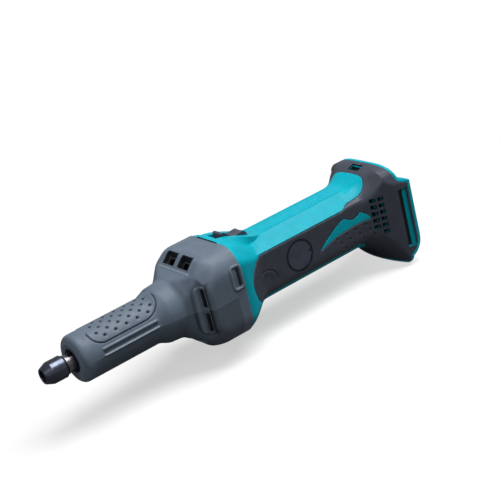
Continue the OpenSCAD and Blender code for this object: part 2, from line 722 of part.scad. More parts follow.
module preload_washer() color("silver")
    ring(pitch_r(spindle_brg) + 1.7, spindle_brg_out - 0.1, middle_end_x, middle_end_x + washer_t);
module shaft_coupling() color("dimgray") difference() {
    rod(coupling_r, coupling_x, coupling_x + coupling_l);
    rod(tail_r + seat, 0, tail_end + 0.2);
    rod(motor_shaft_r + seat, tail_end, big + coupling_x);
}

module armature_shaft() color("gainsboro") union() {
    rod(motor_shaft_r, tail_end + 1, rear_brg_x0 - 1);
    rod(rear_brg_bore - seat, rear_brg_x0 - 2, shaft_end);
}
module armature_core() color("gray") difference() {
    ring(motor_shaft_r + seat, core_r, core_x, core_x + core_l);
    for (i = [0:core_slots - 1]) rotate([360 * i / core_slots, 0, 0]) {
        translate([0, 0, core_r - coil_r - 1.6]) rod(coil_r + 0.15, core_x - over,
            core_x + core_l + over);
        block(core_x - over, core_x + core_l + over, -0.7, 0.7, core_r - coil_r, core_r + over);
    }
}
// One end of the winding: a round bundle with a collar towards the commutator
module coil_bundle(l, collar_l) turned([[motor_shaft_r + 0.1, 0.05], [core_r - 1.2, 0.05],
    [core_r - 1.2, l - 2.5],
    [core_r - 4, l], [motor_shaft_r + 2.4, l], [motor_shaft_r + 2.4, l + collar_l],
        [motor_shaft_r + 0.1, l + collar_l]]);
module armature_windings() color("peru") {
    translate([core_x + core_l, 0, 0]) coil_bundle(coil_end, commutator_x - core_x - core_l - coil_end);
    translate([core_x, 0, 0]) mirror([1, 0, 0]) coil_bundle(coil_end, 1);
    for (i = [0:core_slots - 1]) rotate([360 * i / core_slots, 0, 0])
        translate([0, 0, core_r - coil_r - 1.6]) rod(coil_r, core_x - over, core_x + core_l + over);
}
module commutator() color("darkgoldenrod") difference() {
    ring(motor_shaft_r + seat, commutator_r, commutator_x, commutator_x + commutator_l);
    for (i = [0:2 * core_slots - 1]) rotate([180 * (i + 0.5) / core_slots, 0, 0])
        block(commutator_x - over, commutator_x + commutator_l + over, -0.25, 0.25, commutator_r - 0.8,
            commutator_r + over);
}
module fan() color("black") difference() {
    union() {
        rod(8, fan_x, fan_x + fan_l);
        rod(fan_r, fan_x + fan_l - 1.8, fan_x + fan_l);
        for (i = [0:fan_blades - 1]) rotate([360 * i / fan_blades, 0, 0])
            block(fan_x, fan_x + fan_l - over, -blade_t / 2, blade_t / 2, 7, fan_r - 0.2);
    }
    rod(motor_shaft_r + seat, 0, fan_x + fan_l + over);
}
module baffle_plate() color("dimgray") difference() {
    bar(baffle_x, baffle_x + baffle_t)
        polygon(rounded(inner_half - ring_wall - play, inner_half - ring_wall - play,
            inner_corner - ring_wall));
    rod(air_hole_r, 0, baffle_x + 10);
    four_corners(long_screw_at) rod(boss_r + 0.2, baffle_x - over, baffle_x + baffle_t + over);
}
module motor_yoke() color("silver") ring(yoke_r - yoke_wall, yoke_r, yoke_x, yoke_x + yoke_l);
module magnets() color("dimgray") for (s = [0, 1]) mirror([0, 0, s]) intersection() {
    ring(yoke_r - yoke_wall - play - magnet_t, yoke_r - yoke_wall - play, core_x - 1,
        core_x + core_l + 1);
    bar(core_x - 2, core_x + core_l + 2) polygon(concat([[0, 0]], [for (a = [-magnet_angle / 2, -20,
        20, magnet_angle / 2])
        [2 * yoke_r * sin(a), 2 * yoke_r * cos(a)]]));
}

// Brushes lie across the tool, one on each side of the commutator
holder_x = brush_w / 2 + play + holder_wall;
holder_z = brush_h / 2 + play + holder_wall;
holder_y0 = commutator_r + 1;
cap_y0 = handle_half - cap_t;
spigot_y = yoke_r;
plate_t = 2.6;
lead_y = 17.5;
lead_z = -1.5;
module brush_plate() color("tan") difference() {
    union() {
        ring(yoke_r - 2.2, yoke_r - seat, yoke_x + yoke_l + 0.3, rear_brg_x0 + plate_t);
        ring(rear_brg_out - 2, yoke_r - seat, rear_brg_x0 - 1.5, rear_brg_x0 + plate_t);
        ring(rear_brg_out + seat, rear_brg_out + 2.6, rear_brg_x0, rear_brg_x0 + rear_brg_w);
    }
    rod(rear_brg_out + seat, rear_brg_x0, rear_brg_x0 + 20);
    both_y() {
        block(brush_x - holder_x - play, brush_x + holder_x + play, 12, big, -holder_z - play,
            holder_z + play);
        translate([0, lead_y, lead_z]) rod(lead_r + 0.3, brush_x, rear_brg_x0 + 10);
    }
}
module brush_holders() color("goldenrod") both_y() difference() {
    block(brush_x - holder_x, brush_x + holder_x, holder_y0, yoke_r - 0.3, -holder_z, holder_z);
    block(brush_x - brush_w / 2 - play, brush_x + brush_w / 2 + play, 0, big, -brush_h / 2 - play,
        brush_h / 2 + play);
}
module carbon_brushes() color("black") both_y() difference() {
    block(brush_x - brush_w / 2, brush_x + brush_w / 2, commutator_r - 1, commutator_r + brush_l,
        -brush_h / 2, brush_h / 2);
    rod(commutator_r + play, brush_x - brush_w, brush_x + brush_w);
}
module brush_springs() color("silver") both_y() translate([brush_x, commutator_r + brush_l + play, 0])
    rotate([-90, 0, 0])
    coil(1.8, 0.25, spigot_y - commutator_r - brush_l - 2 * play, 3);
module brush_caps() color("dimgray") both_y() difference() {
    union() {
        cross_pin(cap_r, brush_x, 0, cap_y0, handle_half);
        cross_pin(4, brush_x, 0, spigot_y, cap_y0 + 0.5);
    }
    block(brush_x + cap_r - 2.2, brush_x + cap_r + over, handle_half - 1, handle_half + over, -1.2, 1.2);
}

// Moves a closed outline, drawn counter-clockwise, inwards by d
function inset(p, d) = let(n = len(p)) [for (i = [0:n - 1])
    let(b = p[i], u = b - p[(i + n - 1) % n], v = p[(i + 1) % n] - b,
        m = [-u[1], u[0]] / norm(u), k = [-v[1], v[0]] / norm(v))
    b + d * (m + k) / (1 + m * k)];
// Closed outline, counter-clockwise, whose upper edge is p
function outline(p) = concat([for (q = p) [q[0], -q[1]]], backwards(p));
// Closed outline, counter-clockwise, whose right half is p, from bottom to top
function mirrored(p) = concat(p, [for (q = backwards(p)) [-q[0], q[1]]]);

// Section of the handle: round below, two flat sides, sloped faces up to the spine
handle_section = mirrored(concat(
    arc([handle_half - handle_corner, handle_corner - handle_bottom], handle_corner, -90, 0, 7),
    [[handle_half, face_z - 1.5], [handle_half - 0.5, face_z + 0.6], [spine_half + ridge_step,
        spine_z - 1.3],
    [spine_half, spine_z]]));
// Half widths of the collar and of the flange along the tool
merge = 0.3;
collar_end = boot_rear + collar_l;
collar_plan = concat([[boot_rear - 8, collar_half]], swept(boot_rear, collar_end, collar_half,
    handle_half - merge));
collar_limit = swept(boot_rear - 2, collar_end + 1, collar_half + 7.4, handle_half + 4.8);
flange_plan = concat([[flange_x - 6, handle_half - 4]], swept(flange_x, plate_x + 2,
    handle_half - merge, flange_half),
    [[ear_x + 10, flange_half]]);
// Rear edge of the flange, seen from the side, from the foot up to the crown
notch_x = plate_x + 3.7;
notch_z = ear_top + 4.8;
foot_x = plate_x + 1.5;
rear_edge = concat([[foot_x, -foot_z]],
    arc([ear_x - ear_round, ear_round - ear_bottom], ear_round, -70, 0, 5), [[ear_x, ear_top],
        [notch_x, notch_z],
    [plate_x, crown_z]]);
function flange_side(rear) = concat([[arch_x - 4, -handle_bottom + 4]],
    swept(arch_x, plate_x - 2, merge - handle_bottom, -foot_z), rear,
    backwards(swept(flange_x + 2, plate_x - 2, spine_z - merge, crown_z)), [[flange_x - 4, spine_z - 4]]);
past_rear = [[ear_x + 10, -foot_z], [ear_x + 10, crown_z]];
// Steps in and down of the crown's round edge
crown_steps = [[2.9, 10.6], [4.5, 7.1], [7.5, 3.8], [11.5, 1.9], [17.5, 0.7], [28, -0.1]];
flange_section = mirrored(concat(arc([flange_half - flange_corner, flange_corner - foot_z],
    flange_corner, -90, 0, 4),
    [[flange_half, ear_top]], [for (q = crown_steps) [flange_half - q[0], crown_z - q[1]]]));
// Radius that the flange keeps within, growing from the handle's to the foot's
flange_grow = 34;
function flange_limit(x) = handle_half + 4 + flange_grow * pow((x - flange_x) / (plate_x - flange_x),
    2.2);

module handle_form(d, x0 = boot_rear, x1 = plate_x) bar(x0, x1) polygon(inset(handle_section, d));
module collar_form(d) intersection() {
    raised(-big, big) polygon(inset(outline(collar_plan), d));
    across(-big, big) polygon(inset(outline(collar_plan), d));
    turned(concat([[0, boot_rear]], [for (q = collar_limit) if (q[0] > boot_rear) [q[1] - d, q[0]]],
        [[0, collar_end + 1]]));
    bar(boot_rear, collar_end) polygon(rounded(collar_half - d, collar_half - d, collar_corner - d));
}
module deck_form(d) across(d - deck_half, deck_half - d) polygon(concat([[boot_rear, spine_z - 10]],
    [[boot_rear + deck_l, spine_z - 10]],
    backwards([for (q = swept(boot_rear, boot_rear + deck_l, deck_z, spine_z - merge, 10)) q - [0, d]])));
module flange_form(d, rear = rear_edge) intersection() {
    across(-big, big) polygon(inset(flange_side(rear), d));
    raised(-big, big) polygon(inset(outline(flange_plan), d));
    bar(flange_x - 10, ear_x + over) polygon(inset(flange_section, d));
    turned(concat([[0, flange_x - 10], [handle_half + 4 - d, flange_x - 10], [handle_half + 4 - d,
        flange_x]],
        [for (x = [flange_x + 4:4:plate_x + 4]) [flange_limit(x) - d, x]],
        [[flange_limit(plate_x + 4) + 8, plate_x + 8], [flange_limit(plate_x + 4) + 8, ear_x + over],
            [0, ear_x + over]]));
}
module housing_form(d) { handle_form(d); collar_form(d); deck_form(d); flange_form(d); }

// Part of the outside that the rubber covers
grip_edge = concat([[grip_front + 6, -grip_low], [arch_x, -grip_low]],
    swept(arch_x + 2, plate_x - 4, -grip_low, 2 - foot_z), [[big + ear_x, 2 - foot_z], [big + ear_x,
        face_z],
    [grip_front + 19, face_z], [grip_front + 9, face_z - 5], [grip_front + 2.5, face_z - 11.5],
    [grip_front, face_z - 18], [grip_front + 0.4, face_z - 25], [grip_front + 2.5, face_z - 31.5]]);
dome_c = dome_x - 24.5;
dome_half = 26;
// Rear half of the dome's edge: a rounded square
dome_edge = [for (i = [-9:9]) let(y = dome_half * sin(10 * i))
    [dome_c + (dome_x - dome_c) * pow(max(0, 1 - pow(abs(y) / dome_half, 3)), 1 / 3), y]];
stripe = [[254.5, -6.2], [268, -2.6], [279, -0.7], [290, 0], [302, 0.2], [311, -0.1], [309.8, 3.1],
    [307, 6], [302.4, 9], [299.8, 7.1], [295.5, 5.6], [290.3, 6.6], [285, 10.4], [278.5, 8.6], [269.7, 4],
    [261.5, -0.9]];
window_x0 = dome_x + 2.5;
recess_x0 = plate_x - 0.7;
recess_z0 = -38;
recess_z1 = 16;
module stripe_cut() both_y() across(handle_half - 6, big) polygon(stripe);
module window_cut(depth) raised(crown_z - 14, big) polygon([[window_x0, -window_half],
    [window_x0 + depth, -window_half - 1],
    [window_x0 + depth, window_half + 1], [window_x0, window_half]]);
module grip_region() difference() {
    intersection() {
        union() {
            across(-big, big) polygon(grip_edge);
            raised(face_z - 3, big) polygon(concat(dome_edge, [[dome_c, big], [ear_x + 10, big],
                [ear_x + 10, -big],
                [dome_c, -big]]));
        }
        across(-big, big) polygon(inset(concat([[boot_rear, -2 * big], [foot_x, -2 * big]],
            rear_edge,
            [[plate_x, 2 * big], [boot_rear, 2 * big]]), rim_w));
    }
    stripe_cut();
}
// Openings that pass through the rubber and the housing
slot_pitch = 6;
slot_w = 5;
slot_h = 3.4;
// Places of the two columns before the plate, and height of their uppermost slots
slot_front = 25.8;
slot_rear = 19.1;
slot_top_z = 12.9;
module slot(x, z) block(x, x + slot_w, handle_half - 4, big, z, z + slot_h);
module side_slots() both_y() {
    for (i = [0:slot_rows - 1])
        slot(plate_x - slot_front, slot_top_z - i * slot_pitch);
    for (i = [0:slot_rows])
        slot(plate_x - slot_rear, slot_top_z - i * slot_pitch);
}
module screw_recesses() for (p = screw_places) cross_pin(screw_head_r + 0.2, p[0], p[1], screw_seat_y,
    big);
screw_seat_y = 10;

knob_end = knob_x + knob_l;
// Gaps round the knob: ahead of it, beside it, and round the link
knob_gap = 0.25;
knob_side = 0.5;
link_gap = 0.4;
// Front end of the knob's slot: it clears the lip when the knob is forward and rocked
knob_lean = (lip_z - knob_base_z) * sin(lock_angle);
knob_slot_x = knob_x - switch_travel - knob_lean - knob_gap;
base_x0 = knob_x + 1;
base_half = 10;
base_tail = 5;
pivot_x = knob_end - 3;
pivot_z = knob_base_z + 2.1;
link_x0 = pivot_x - 5;
link_end = switch_x + switch_l - 3;
spring_x0 = link_end - 12.5 - spring_l;
spring_z = link_z - spring_r - spring_wire - 0.25;
lug_y = 3.3;
lug_t = 1.4;

// Material left standing inside: screw bosses and ribs that hold the switch and the controller
controller_z0 = -12;
controller_z1 = 6;
module inner_ribs() {
    for (p = screw_places) cross_pin(boss_r, p[0], p[1], -big, big);
    for (x = [switch_x + 2, switch_x + switch_l - 6]) {
        both_y() block(x, x + 2, switch_half + seat, big, switch_top - 13, switch_top - 2);
        block(x, x + 2, -big, big, switch_top - 15.5, switch_top - 13 - seat);
    }
    for (x = [controller_x + 4, controller_x + controller_l - 6])
        block(x, x + 2, -big, big, -big, controller_z0 - seat);
    block(spring_x0 - 2, spring_x0 - play, -7.5, 7.5, spring_z - 3, big);
}
module housing_cavities() difference() {
    union() {
        difference() {
            bar(bell_rear - over, boot_rear - 5)
                polygon(rounded(inner_half - ring_wall, inner_half - ring_wall,
                    inner_corner - ring_wall));
            four_corners(long_screw_at) rod(boss_r, bell_rear - 2, boot_rear);
        }
        rod(air_hole_r, bell_rear, boot_rear + over);
        rod(motor_bay_r, boot_rear, motor_bay_end);
        difference() {
            collar_form(wall + grip_t);
            rod(motor_bay_r + 2, boot_rear - over, collar_end + over);
            block(0, boot_rear + 2, -big, big, -big, big);
        }
        handle_form(wall + 0.6, motor_bay_end - 0.01, cavity_rear);
        intersection() {
            flange_form(wall + grip_t, past_rear);
            block(motor_bay_end, cavity_rear, -big, big, -big, big);
        }
    }
    inner_ribs();
}
module rails() {
    block(plate_x, big + ear_x, -bay_half, bay_half, -bay_floor, big);
    block(plate_x + rail_step, plate_x + rail_step + rail_lip + 2.2, -bay_half - rail_groove,
        bay_half + rail_groove,
        -bay_floor + 3, big);
}
module housing() difference() {
    union() {
        bar(bell_rear + play, boot_rear + over) polygon(rounded(inner_half, inner_half, inner_corner));
        housing_form(grip_t);
        difference() {
            housing_form(0);
            grip_region();
        }
    }
    housing_cavities();
    four_corners(long_screw_at) rod(long_screw_r + seat, 0, boot_rear - 2.5);
    // Slot of the switch knob, space of its base and channel of the link
    block(knob_slot_x, knob_end + 0.8, -knob_half - knob_side, knob_half + knob_side, spine_z - 3, big);
    block(knob_slot_x, knob_end + base_tail + 1, -base_half - knob_side, base_half + knob_side,
        motor_bay_r - 1,
        knob_base_z + knob_base_t + knob_side);
    block(link_x0 - switch_travel - 2, link_end + 3, -link_half - link_gap, link_half + link_gap,
        motor_bay_r - 1,
        link_z + link_t + link_gap);
    rails();
    side_slots();
    both_y() {
        cross_pin(cap_r + play, brush_x, 0, cap_y0 - play, big);
        cross_pin(4 + play, brush_x, 0, 10, big);
        block(recess_x0, recess_x0 + 5.5, flange_half - 3, big, recess_z0, recess_z1);
        translate([0, bay_half - lead_in, lead_low]) rod(lead_r + 0.3, cavity_rear - 2, plate_x + over);
    }
    window_cut(3.6);
    screw_recesses();
    for (p = screw_places) cross_pin(screw_r + seat, p[0], p[1], screw_seat_y - screw_l,
        screw_seat_y + over);
}
module left_half() block(0, 2 * big + ear_x, -2 * big, -seam / 2, -2 * big, 2 * big);
module right_half() block(0, 2 * big + ear_x, seam / 2, 2 * big, -2 * big, 2 * big);
module housing_left() color("teal") intersection() { housing(); left_half(); }
module housing_right() color("teal") intersection() { housing(); right_half(); }

// Radius of the thumb groove, and first place and pitches of the rows of dimples
thumb_r = 10.5;
dimple_x = 273.8;
dimple_z = -3.5;
dimple_pitch = 10.4;
dimple_shift = 3.5;
dimple_row = 5.6;
module grips() difference() {
    intersection() {
        difference() {
            housing_form(0);
            housing_form(grip_t);
        }
        grip_region();
    }
    side_slots();
    both_y() {
        cross_pin(cap_r + play, brush_x, 0, 0, big);
        block(recess_x0, recess_x0 + 9.5, handle_half, big, recess_z0, recess_z1);
        for (i = [0:3], j = [0:2])
            cross_pin(0.8, dimple_x + dimple_pitch * i + dimple_shift * j, dimple_z - dimple_row * j,
                handle_half - 0.6, big);
        difference() {
            cross_pin(thumb_r, grip_front + 20, 2 - thumb_r, handle_half - 0.7, big);
            cross_pin(thumb_r - 0.9, grip_front + 20, 2 - thumb_r, handle_half - over, big);
            block(0, grip_front + 12, 0, big, -big, big);
        }
    }
    window_cut(7.5);
    screw_recesses();
}
module grip_left() color("dimgray") intersection() { grips(); left_half(); }
module grip_right() color("dimgray") intersection() { grips(); right_half(); }
module housing_screws() color("black") for (p = screw_places) difference() {
    union() {
        cross_pin(screw_head_r, p[0], p[1], screw_seat_y, screw_seat_y + 2.4);
        cross_pin(screw_r, p[0], p[1], screw_seat_y - screw_l + over, screw_seat_y + over);
    }
    translate([p[0], screw_seat_y + 3, p[1]]) rotate([90, 0, 0]) cylinder(r = 1.5, h = 2, $fn = 6);
}

module switch_knob() color("black") difference() {
    union() {
        across(-knob_half, knob_half) polygon([[knob_x, knob_base_z + 1], [knob_end, knob_base_z + 1],
            [knob_end, hump_z - 4.5], [knob_end - 0.6, hump_z - 2], [knob_end - 1.8, hump_z - 0.6],
            [knob_end - 3.6, hump_z], [knob_end - 6.5, hump_z - 0.2], [knob_end - 10.5, hump_z - 0.7],
            [knob_x + 8.8, hump_z - 0.5], [knob_x + 5.2, lip_z - 2.4], [knob_x + 2.4, lip_z - 0.3],
            [knob_x + 0.9, lip_z], [knob_x, lip_z - 1]]);
        block(base_x0, knob_end + base_tail, -base_half, base_half, knob_base_z,
            knob_base_z + knob_base_t);
    }
    both_y() block(pivot_x - 3.2, pivot_x + 3.2, lug_y - 0.3, lug_y + lug_t + 0.3, knob_base_z - over,
        pivot_z + 3);
    cross_pin(1.2 + play, pivot_x, pivot_z, -lug_y - over, lug_y + over);
    block(pivot_x - 3.2, pivot_x + 3.2, -lug_y, lug_y, knob_base_z - over, knob_base_z + 0.25);
}
module switch_link() color("darkslategray") {
    block(link_x0, link_end, -link_half, link_half, link_z, link_z + link_t);
    both_y() block(pivot_x - 2.4, pivot_x + 2.4, lug_y, lug_y + lug_t, link_z + 0.1, pivot_z + 2.4);
    cross_pin(1.2, pivot_x, pivot_z, -lug_y - 0.1, lug_y + 0.1);
    block(spring_x0 + spring_l, spring_x0 + spring_l + 1.5, -3, 3, spring_z - 2.3, link_z + 0.1);
    block(link_end - 4, link_end - 1, -3, 3, switch_top + 1.2, link_z + 0.1);
}
module switch_spring() color("silver") translate([spring_x0, 0, spring_z]) rotate([0, 90, 0])
    coil(spring_r, spring_wire, spring_l, spring_turns);
module switch_body() color("black") difference() {
    block(switch_x, switch_x + switch_l, -switch_half, switch_half, switch_top - 13, switch_top);
    block(switch_x + 8, switch_x + switch_l - 2, -2, 2, switch_top - 2.5, switch_top + over);
}
module switch_slider() color("saddlebrown") difference() {
    union() {
        block(link_end - 6, link_end + 1, -4.5, 4.5, switch_top + 0.1, switch_top + 3.4);
        block(link_end - 4.5, link_end - 0.5, -1.7, 1.7, switch_top - 2.2, switch_top + 0.2);
    }
    block(link_end - 4 - play, link_end - 1 + play, -3 - play, 3 + play, switch_top + 1.2 - play, big);
}
module speed_controller() color("dimgray") difference() {
    block(controller_x, controller_x + controller_l, -13, 13, controller_z0, controller_z1);
    for (i = [0:4]) block(controller_x + 3, controller_x + controller_l - 3, 4.4 * i - 10.4,
        4.4 * i - 7.8,
        controller_z1 - 5, controller_z1 + over);
}
lead_start = brush_x + holder_x;
module motor_leads() color("red") {
    both_y() lead([[lead_start, lead_y, lead_z], [controller_x - 4, lead_y, lead_z], [controller_x - 4,
        10, lead_z],
        [controller_x, 10, lead_z]], lead_r);
    both_y() lead([[switch_x + switch_l, 4, 8], [controller_x - 2, 4, 8], [controller_x - 2, 4, 2],
        [controller_x, 4, 2]], lead_r - 0.3);
}
module battery_leads() color("black") both_y() translate([0, bay_half - lead_in, 0])
    lead([[plate_x, 0, lead_low], [plate_x - 7, 0, lead_low], [plate_x - 7, 0, -4],
        [controller_x + controller_l, 0, -4]],
        lead_r);
module terminal_block() color("black") difference() {
    union() {
        block(plate_x + seat, plate_x + block_d, -block_half, block_half, -bay_floor + seat,
            -block_top - block_step);
        block(plate_x + seat, plate_x + 5, -block_half, block_half, -block_top - block_step - 1,
            -block_top);
    }
    both_y() block(plate_x + 2, plate_x + 2 + blade_slot_l, blade_gap / 2 - contact_t / 2 - 0.01,
        blade_gap / 2 + contact_t / 2 + 0.01, -block_top - blade_foot, big);
}
module contact_blades() color("silver") both_y()
    block(plate_x + 2, plate_x + 2 + blade_slot_l, blade_gap / 2 - contact_t / 2,
        blade_gap / 2 + contact_t / 2,
        -block_top - blade_foot, contact_h - block_top);

collet_nut();
collet_cone();
spindle();
labyrinth_ring();
bearing_retainer();
front_bearing_outer();
front_bearing_inner();
front_bearing_balls();
front_bearing_cage();
middle_bearing_outer();
middle_bearing_inner();
middle_bearing_balls();
middle_bearing_cage();
preload_washer();
bearing_housing();
front_boot();
shaft_coupling();
fan_bearing_outer();
fan_bearing_inner();
fan_bearing_balls();
fan_bearing_cage();
fan();
baffle_plate();
long_screws();
armature_shaft();
armature_core();
armature_windings();
commutator();
motor_yoke();
magnets();
brush_plate();
brush_holders();
carbon_brushes();
brush_springs();
brush_caps();
rear_bearing_outer();
rear_bearing_inner();
rear_bearing_balls();
rear_bearing_cage();
switch_knob();
switch_link();
switch_spring();
switch_body();
switch_slider();
speed_controller();
motor_leads();
battery_leads();
terminal_block();
contact_blades();
housing_left();
housing_right();
grip_left();
grip_right();
housing_screws();
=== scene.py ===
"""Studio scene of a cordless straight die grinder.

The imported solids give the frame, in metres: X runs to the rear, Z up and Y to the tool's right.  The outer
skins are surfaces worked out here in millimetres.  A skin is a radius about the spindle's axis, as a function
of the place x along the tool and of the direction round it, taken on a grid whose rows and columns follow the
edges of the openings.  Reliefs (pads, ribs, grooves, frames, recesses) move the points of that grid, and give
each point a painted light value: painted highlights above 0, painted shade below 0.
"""

import json
import logging
import math
from dataclasses import dataclass, field
from enum import Enum
from typing import Callable, Optional, Sequence

import bpy
import numpy as np
from mathutils import Matrix, Vector

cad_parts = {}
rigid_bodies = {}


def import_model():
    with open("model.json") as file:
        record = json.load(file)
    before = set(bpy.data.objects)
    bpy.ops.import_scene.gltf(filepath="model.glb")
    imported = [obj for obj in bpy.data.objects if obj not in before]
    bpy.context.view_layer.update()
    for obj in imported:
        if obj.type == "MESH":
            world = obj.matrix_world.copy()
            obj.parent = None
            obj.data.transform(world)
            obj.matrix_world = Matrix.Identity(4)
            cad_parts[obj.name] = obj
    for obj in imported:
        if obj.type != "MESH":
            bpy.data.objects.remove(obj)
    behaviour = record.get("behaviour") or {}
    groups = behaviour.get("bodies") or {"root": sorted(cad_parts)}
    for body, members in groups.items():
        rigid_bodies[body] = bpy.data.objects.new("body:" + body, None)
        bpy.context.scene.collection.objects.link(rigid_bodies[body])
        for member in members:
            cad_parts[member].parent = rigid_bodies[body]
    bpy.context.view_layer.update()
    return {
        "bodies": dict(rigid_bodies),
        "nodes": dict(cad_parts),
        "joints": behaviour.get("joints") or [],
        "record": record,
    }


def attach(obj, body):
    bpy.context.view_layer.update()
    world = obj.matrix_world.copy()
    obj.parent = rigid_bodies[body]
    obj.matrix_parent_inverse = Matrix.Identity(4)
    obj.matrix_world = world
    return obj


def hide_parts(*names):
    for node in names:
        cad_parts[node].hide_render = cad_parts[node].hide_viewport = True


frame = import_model()

Array = np.ndarray
Pair = tuple[float, float]
Triple = tuple[float, float, float]
Colour = Triple
MM = 0.001
# colour sockets of a mix node, whose other sockets have the same names
MIX_A, MIX_B, MIX_RESULT = 6, 7, 2
# round upper edge of the flange: distances in millimetres inwards from its side and down from its crown
CROWN_EDGE = ((2.9, 10.6), (4.5, 7.1), (7.5, 3.8), (11.5, 1.9), (17.5, 0.7), (28.0, -0.1))
log = logging.getLogger("die_grinder")


class Side(Enum):
    """Side of the tool, with the sign of Y there."""

    LEFT = -1
    RIGHT = 1


class Body(Enum):
    """Moving bodies that new pieces ride on."""

    HOUSING = "housing"
    KNOB = "knob"


# ---------------------------------------------------------------- numbers and curves


def ease(t: Array) -> Array:
    """Smooth step from 0 to 1: t squared times (3 minus 2 t), with t kept between 0 and 1."""
    u = np.clip(t, 0.0, 1.0)
    return u * u * (3.0 - 2.0 * u)


def swept(x: Array, x0: float, x1: float, v0: float, v1: float) -> Array:
    """Value that goes smoothly from v0 at x0 to v1 at x1."""
    return v0 + (v1 - v0) * ease((x - x0) / (x1 - x0))


def soft_min(a: Array, b: Array, h: float) -> Array:
    """Smaller of two values, with the crease between them rounded over a difference of h."""
    return np.minimum(a, b) - np.maximum(h - np.abs(a - b), 0.0) ** 2 / (4.0 * h)


def soft_max(a: Array, b: Array, h: float | Array) -> Array:
    """Larger of two values, with the crease between them filled over a difference of h."""
    return np.maximum(a, b) + np.maximum(h - np.abs(a - b), 0.0) ** 2 / (4.0 * h)


def hill(distance: Array, half_width: float) -> Array:
    """Round hill, 1 in the middle and 0 from half_width outwards.

    It is the square of 1 minus the squared ratio of distance to half_width.
    """
    return np.maximum(1.0 - (distance / half_width) ** 2, 0.0) ** 2


def smoothed_line(points: Sequence[Pair], sigma: float) -> Callable[[Array], Array]:
    """Straight segments through points, with their corners rounded.

    The line is sampled every 0.1 mm and averaged with a bell-shaped weight of width sigma.

    Args:
        points: (place, value) pairs with rising places.
        sigma: Width of the weight in millimetres.

    Returns:
        A function from places to values.
    """
    xs, vs = np.array(points, float).T
    grid = np.arange(xs[0] - 6.0 * sigma, xs[-1] + 6.0 * sigma, 0.1)
    raw = np.interp(grid, xs, vs)
    reach = np.arange(-int(30 * sigma), int(30 * sigma) + 1) * 0.1
    weight = np.exp(-0.5 * (reach / sigma) ** 2)
    pad = len(reach) // 2
    smooth = np.convolve(np.pad(raw, pad, mode="edge"), weight / weight.sum(), mode="valid")
    return lambda x: np.interp(x, grid, smooth)


def section_radius(points: Sequence[Pair], sigma: float) -> Callable[[Array], Array]:
    """Distance from the axis to a closed outline, as a function of direction.

    For each of 4096 directions the ray is cut with every edge of the outline and the outermost cut is kept;
    the table is then averaged round the outline with a bell-shaped weight.

    Args:
        points: Corners (y, z) of the outline, which holds the axis.
        sigma: Width of the weight in degrees.

    Returns:
        A function from angles in radians, counted from +Y towards +Z, to radii.
    """
    p = np.array(points, float)
    q = np.roll(p, -1, axis=0)
    count = 4096
    angle = np.linspace(0.0, 2.0 * np.pi, count, endpoint=False)
    d = np.stack([np.cos(angle), np.sin(angle)], axis=1)[:, None, :]
    e = (q - p)[None]
    cross = d[..., 0] * e[..., 1] - d[..., 1] * e[..., 0]
    safe = np.where(np.abs(cross) < 1e-12, 1e-12, cross)
    t = (p[None, :, 0] * e[..., 1] - p[None, :, 1] * e[..., 0]) / safe
    s = (p[None, :, 0] * d[..., 1] - p[None, :, 1] * d[..., 0]) / safe
    hit = (np.abs(cross) > 1e-12) & (t > 0) & (s >= -1e-9) & (s <= 1 + 1e-9)
    table = np.where(hit, t, 0.0).max(axis=1)
    reach = np.arange(-200, 201)
    weight = np.exp(-0.5 * (reach * 360.0 / count / sigma) ** 2)
    weight /= weight.sum()
    table = np.convolve(np.concatenate([table[-200:], table, table[:200]]), weight, mode="valid")
    table = np.append(table, table[0])
    grid = np.append(angle, 2.0 * np.pi)
    return lambda a: np.interp(np.mod(a, 2.0 * np.pi), grid, table)


def arc(cy: float, cz: float, r: float, a0: float, a1: float, n: int) -> list[Pair]:
    """Points of an arc about (cy, cz) from a0 to a1 degrees, in n steps."""
    a = np.radians(np.linspace(a0, a1, n + 1))
    return list(zip(cy + r * np.cos(a), cz + r * np.sin(a)))


def rounded_square(half: float, r: float) -> list[Pair]:
    """Outline of a square with round corners."""
    c = half - r
    middles = enumerate(((c, c), (-c, c), (-c, -c), (c, -c)))
    return [p for i, (y, z) in middles for p in arc(y, z, r, 90 * i, 90 * (i + 1), 12)]


def outline_distance(u: Array, v: Array, points: Sequence[Pair], closed: bool = True) -> Array:
    """Distance from places to an outline, positive inside it.

    The distance is the least over the edges; a place is inside when a ray from it crosses the outline an odd
    number of times.

    Args:
        u: First coordinates of the places.
        v: Second coordinates of the places.
        points: Corners of the outline.
        closed: False for an open line, whose distance is never negative.

    Returns:
        The distances, in the shape of u.
    """
    p = np.array(points, float)
    q = np.roll(p, -1, axis=0) if closed else p[1:]
    best = np.full(np.shape(u), np.inf)
    inside = np.zeros(np.shape(u), bool)
    for (au, av), (bu, bv) in zip(p, q):
        eu, ev = bu - au, bv - av
        t = np.clip(((u - au) * eu + (v - av) * ev) / max(eu * eu + ev * ev, 1e-12), 0.0, 1.0)
        best = np.minimum(best, np.hypot(u - au - t * eu, v - av - t * ev))
        if closed and ev != 0.0:
            inside ^= ((av > v) != (bv > v)) & (u < au + (v - av) * eu / ev)
    return np.where(inside, best, -best) if closed else best


def plate_distance(u: Array, v: Array, corner: Array | float) -> Array:
    """Distance from places to the edge of a rectangle with round corners, positive inside it.

    Args:
        u: First coordinates, as distances beyond the middles of the corners' rounds.
        v: Second coordinates, counted in the same way.
        corner: Radius of the corners.

    Returns:
        The distances: the corner's radius less the distance to the rectangle between the rounds' middles.
    """
    return corner - np.hypot(np.maximum(u, 0.0), np.maximum(v, 0.0)) - np.minimum(np.maximum(u, v), 0.0)


def between(v: Array, low: float, high: float) -> Array:
    """Whether values lie between two others."""
    return (v > low) & (v < high)


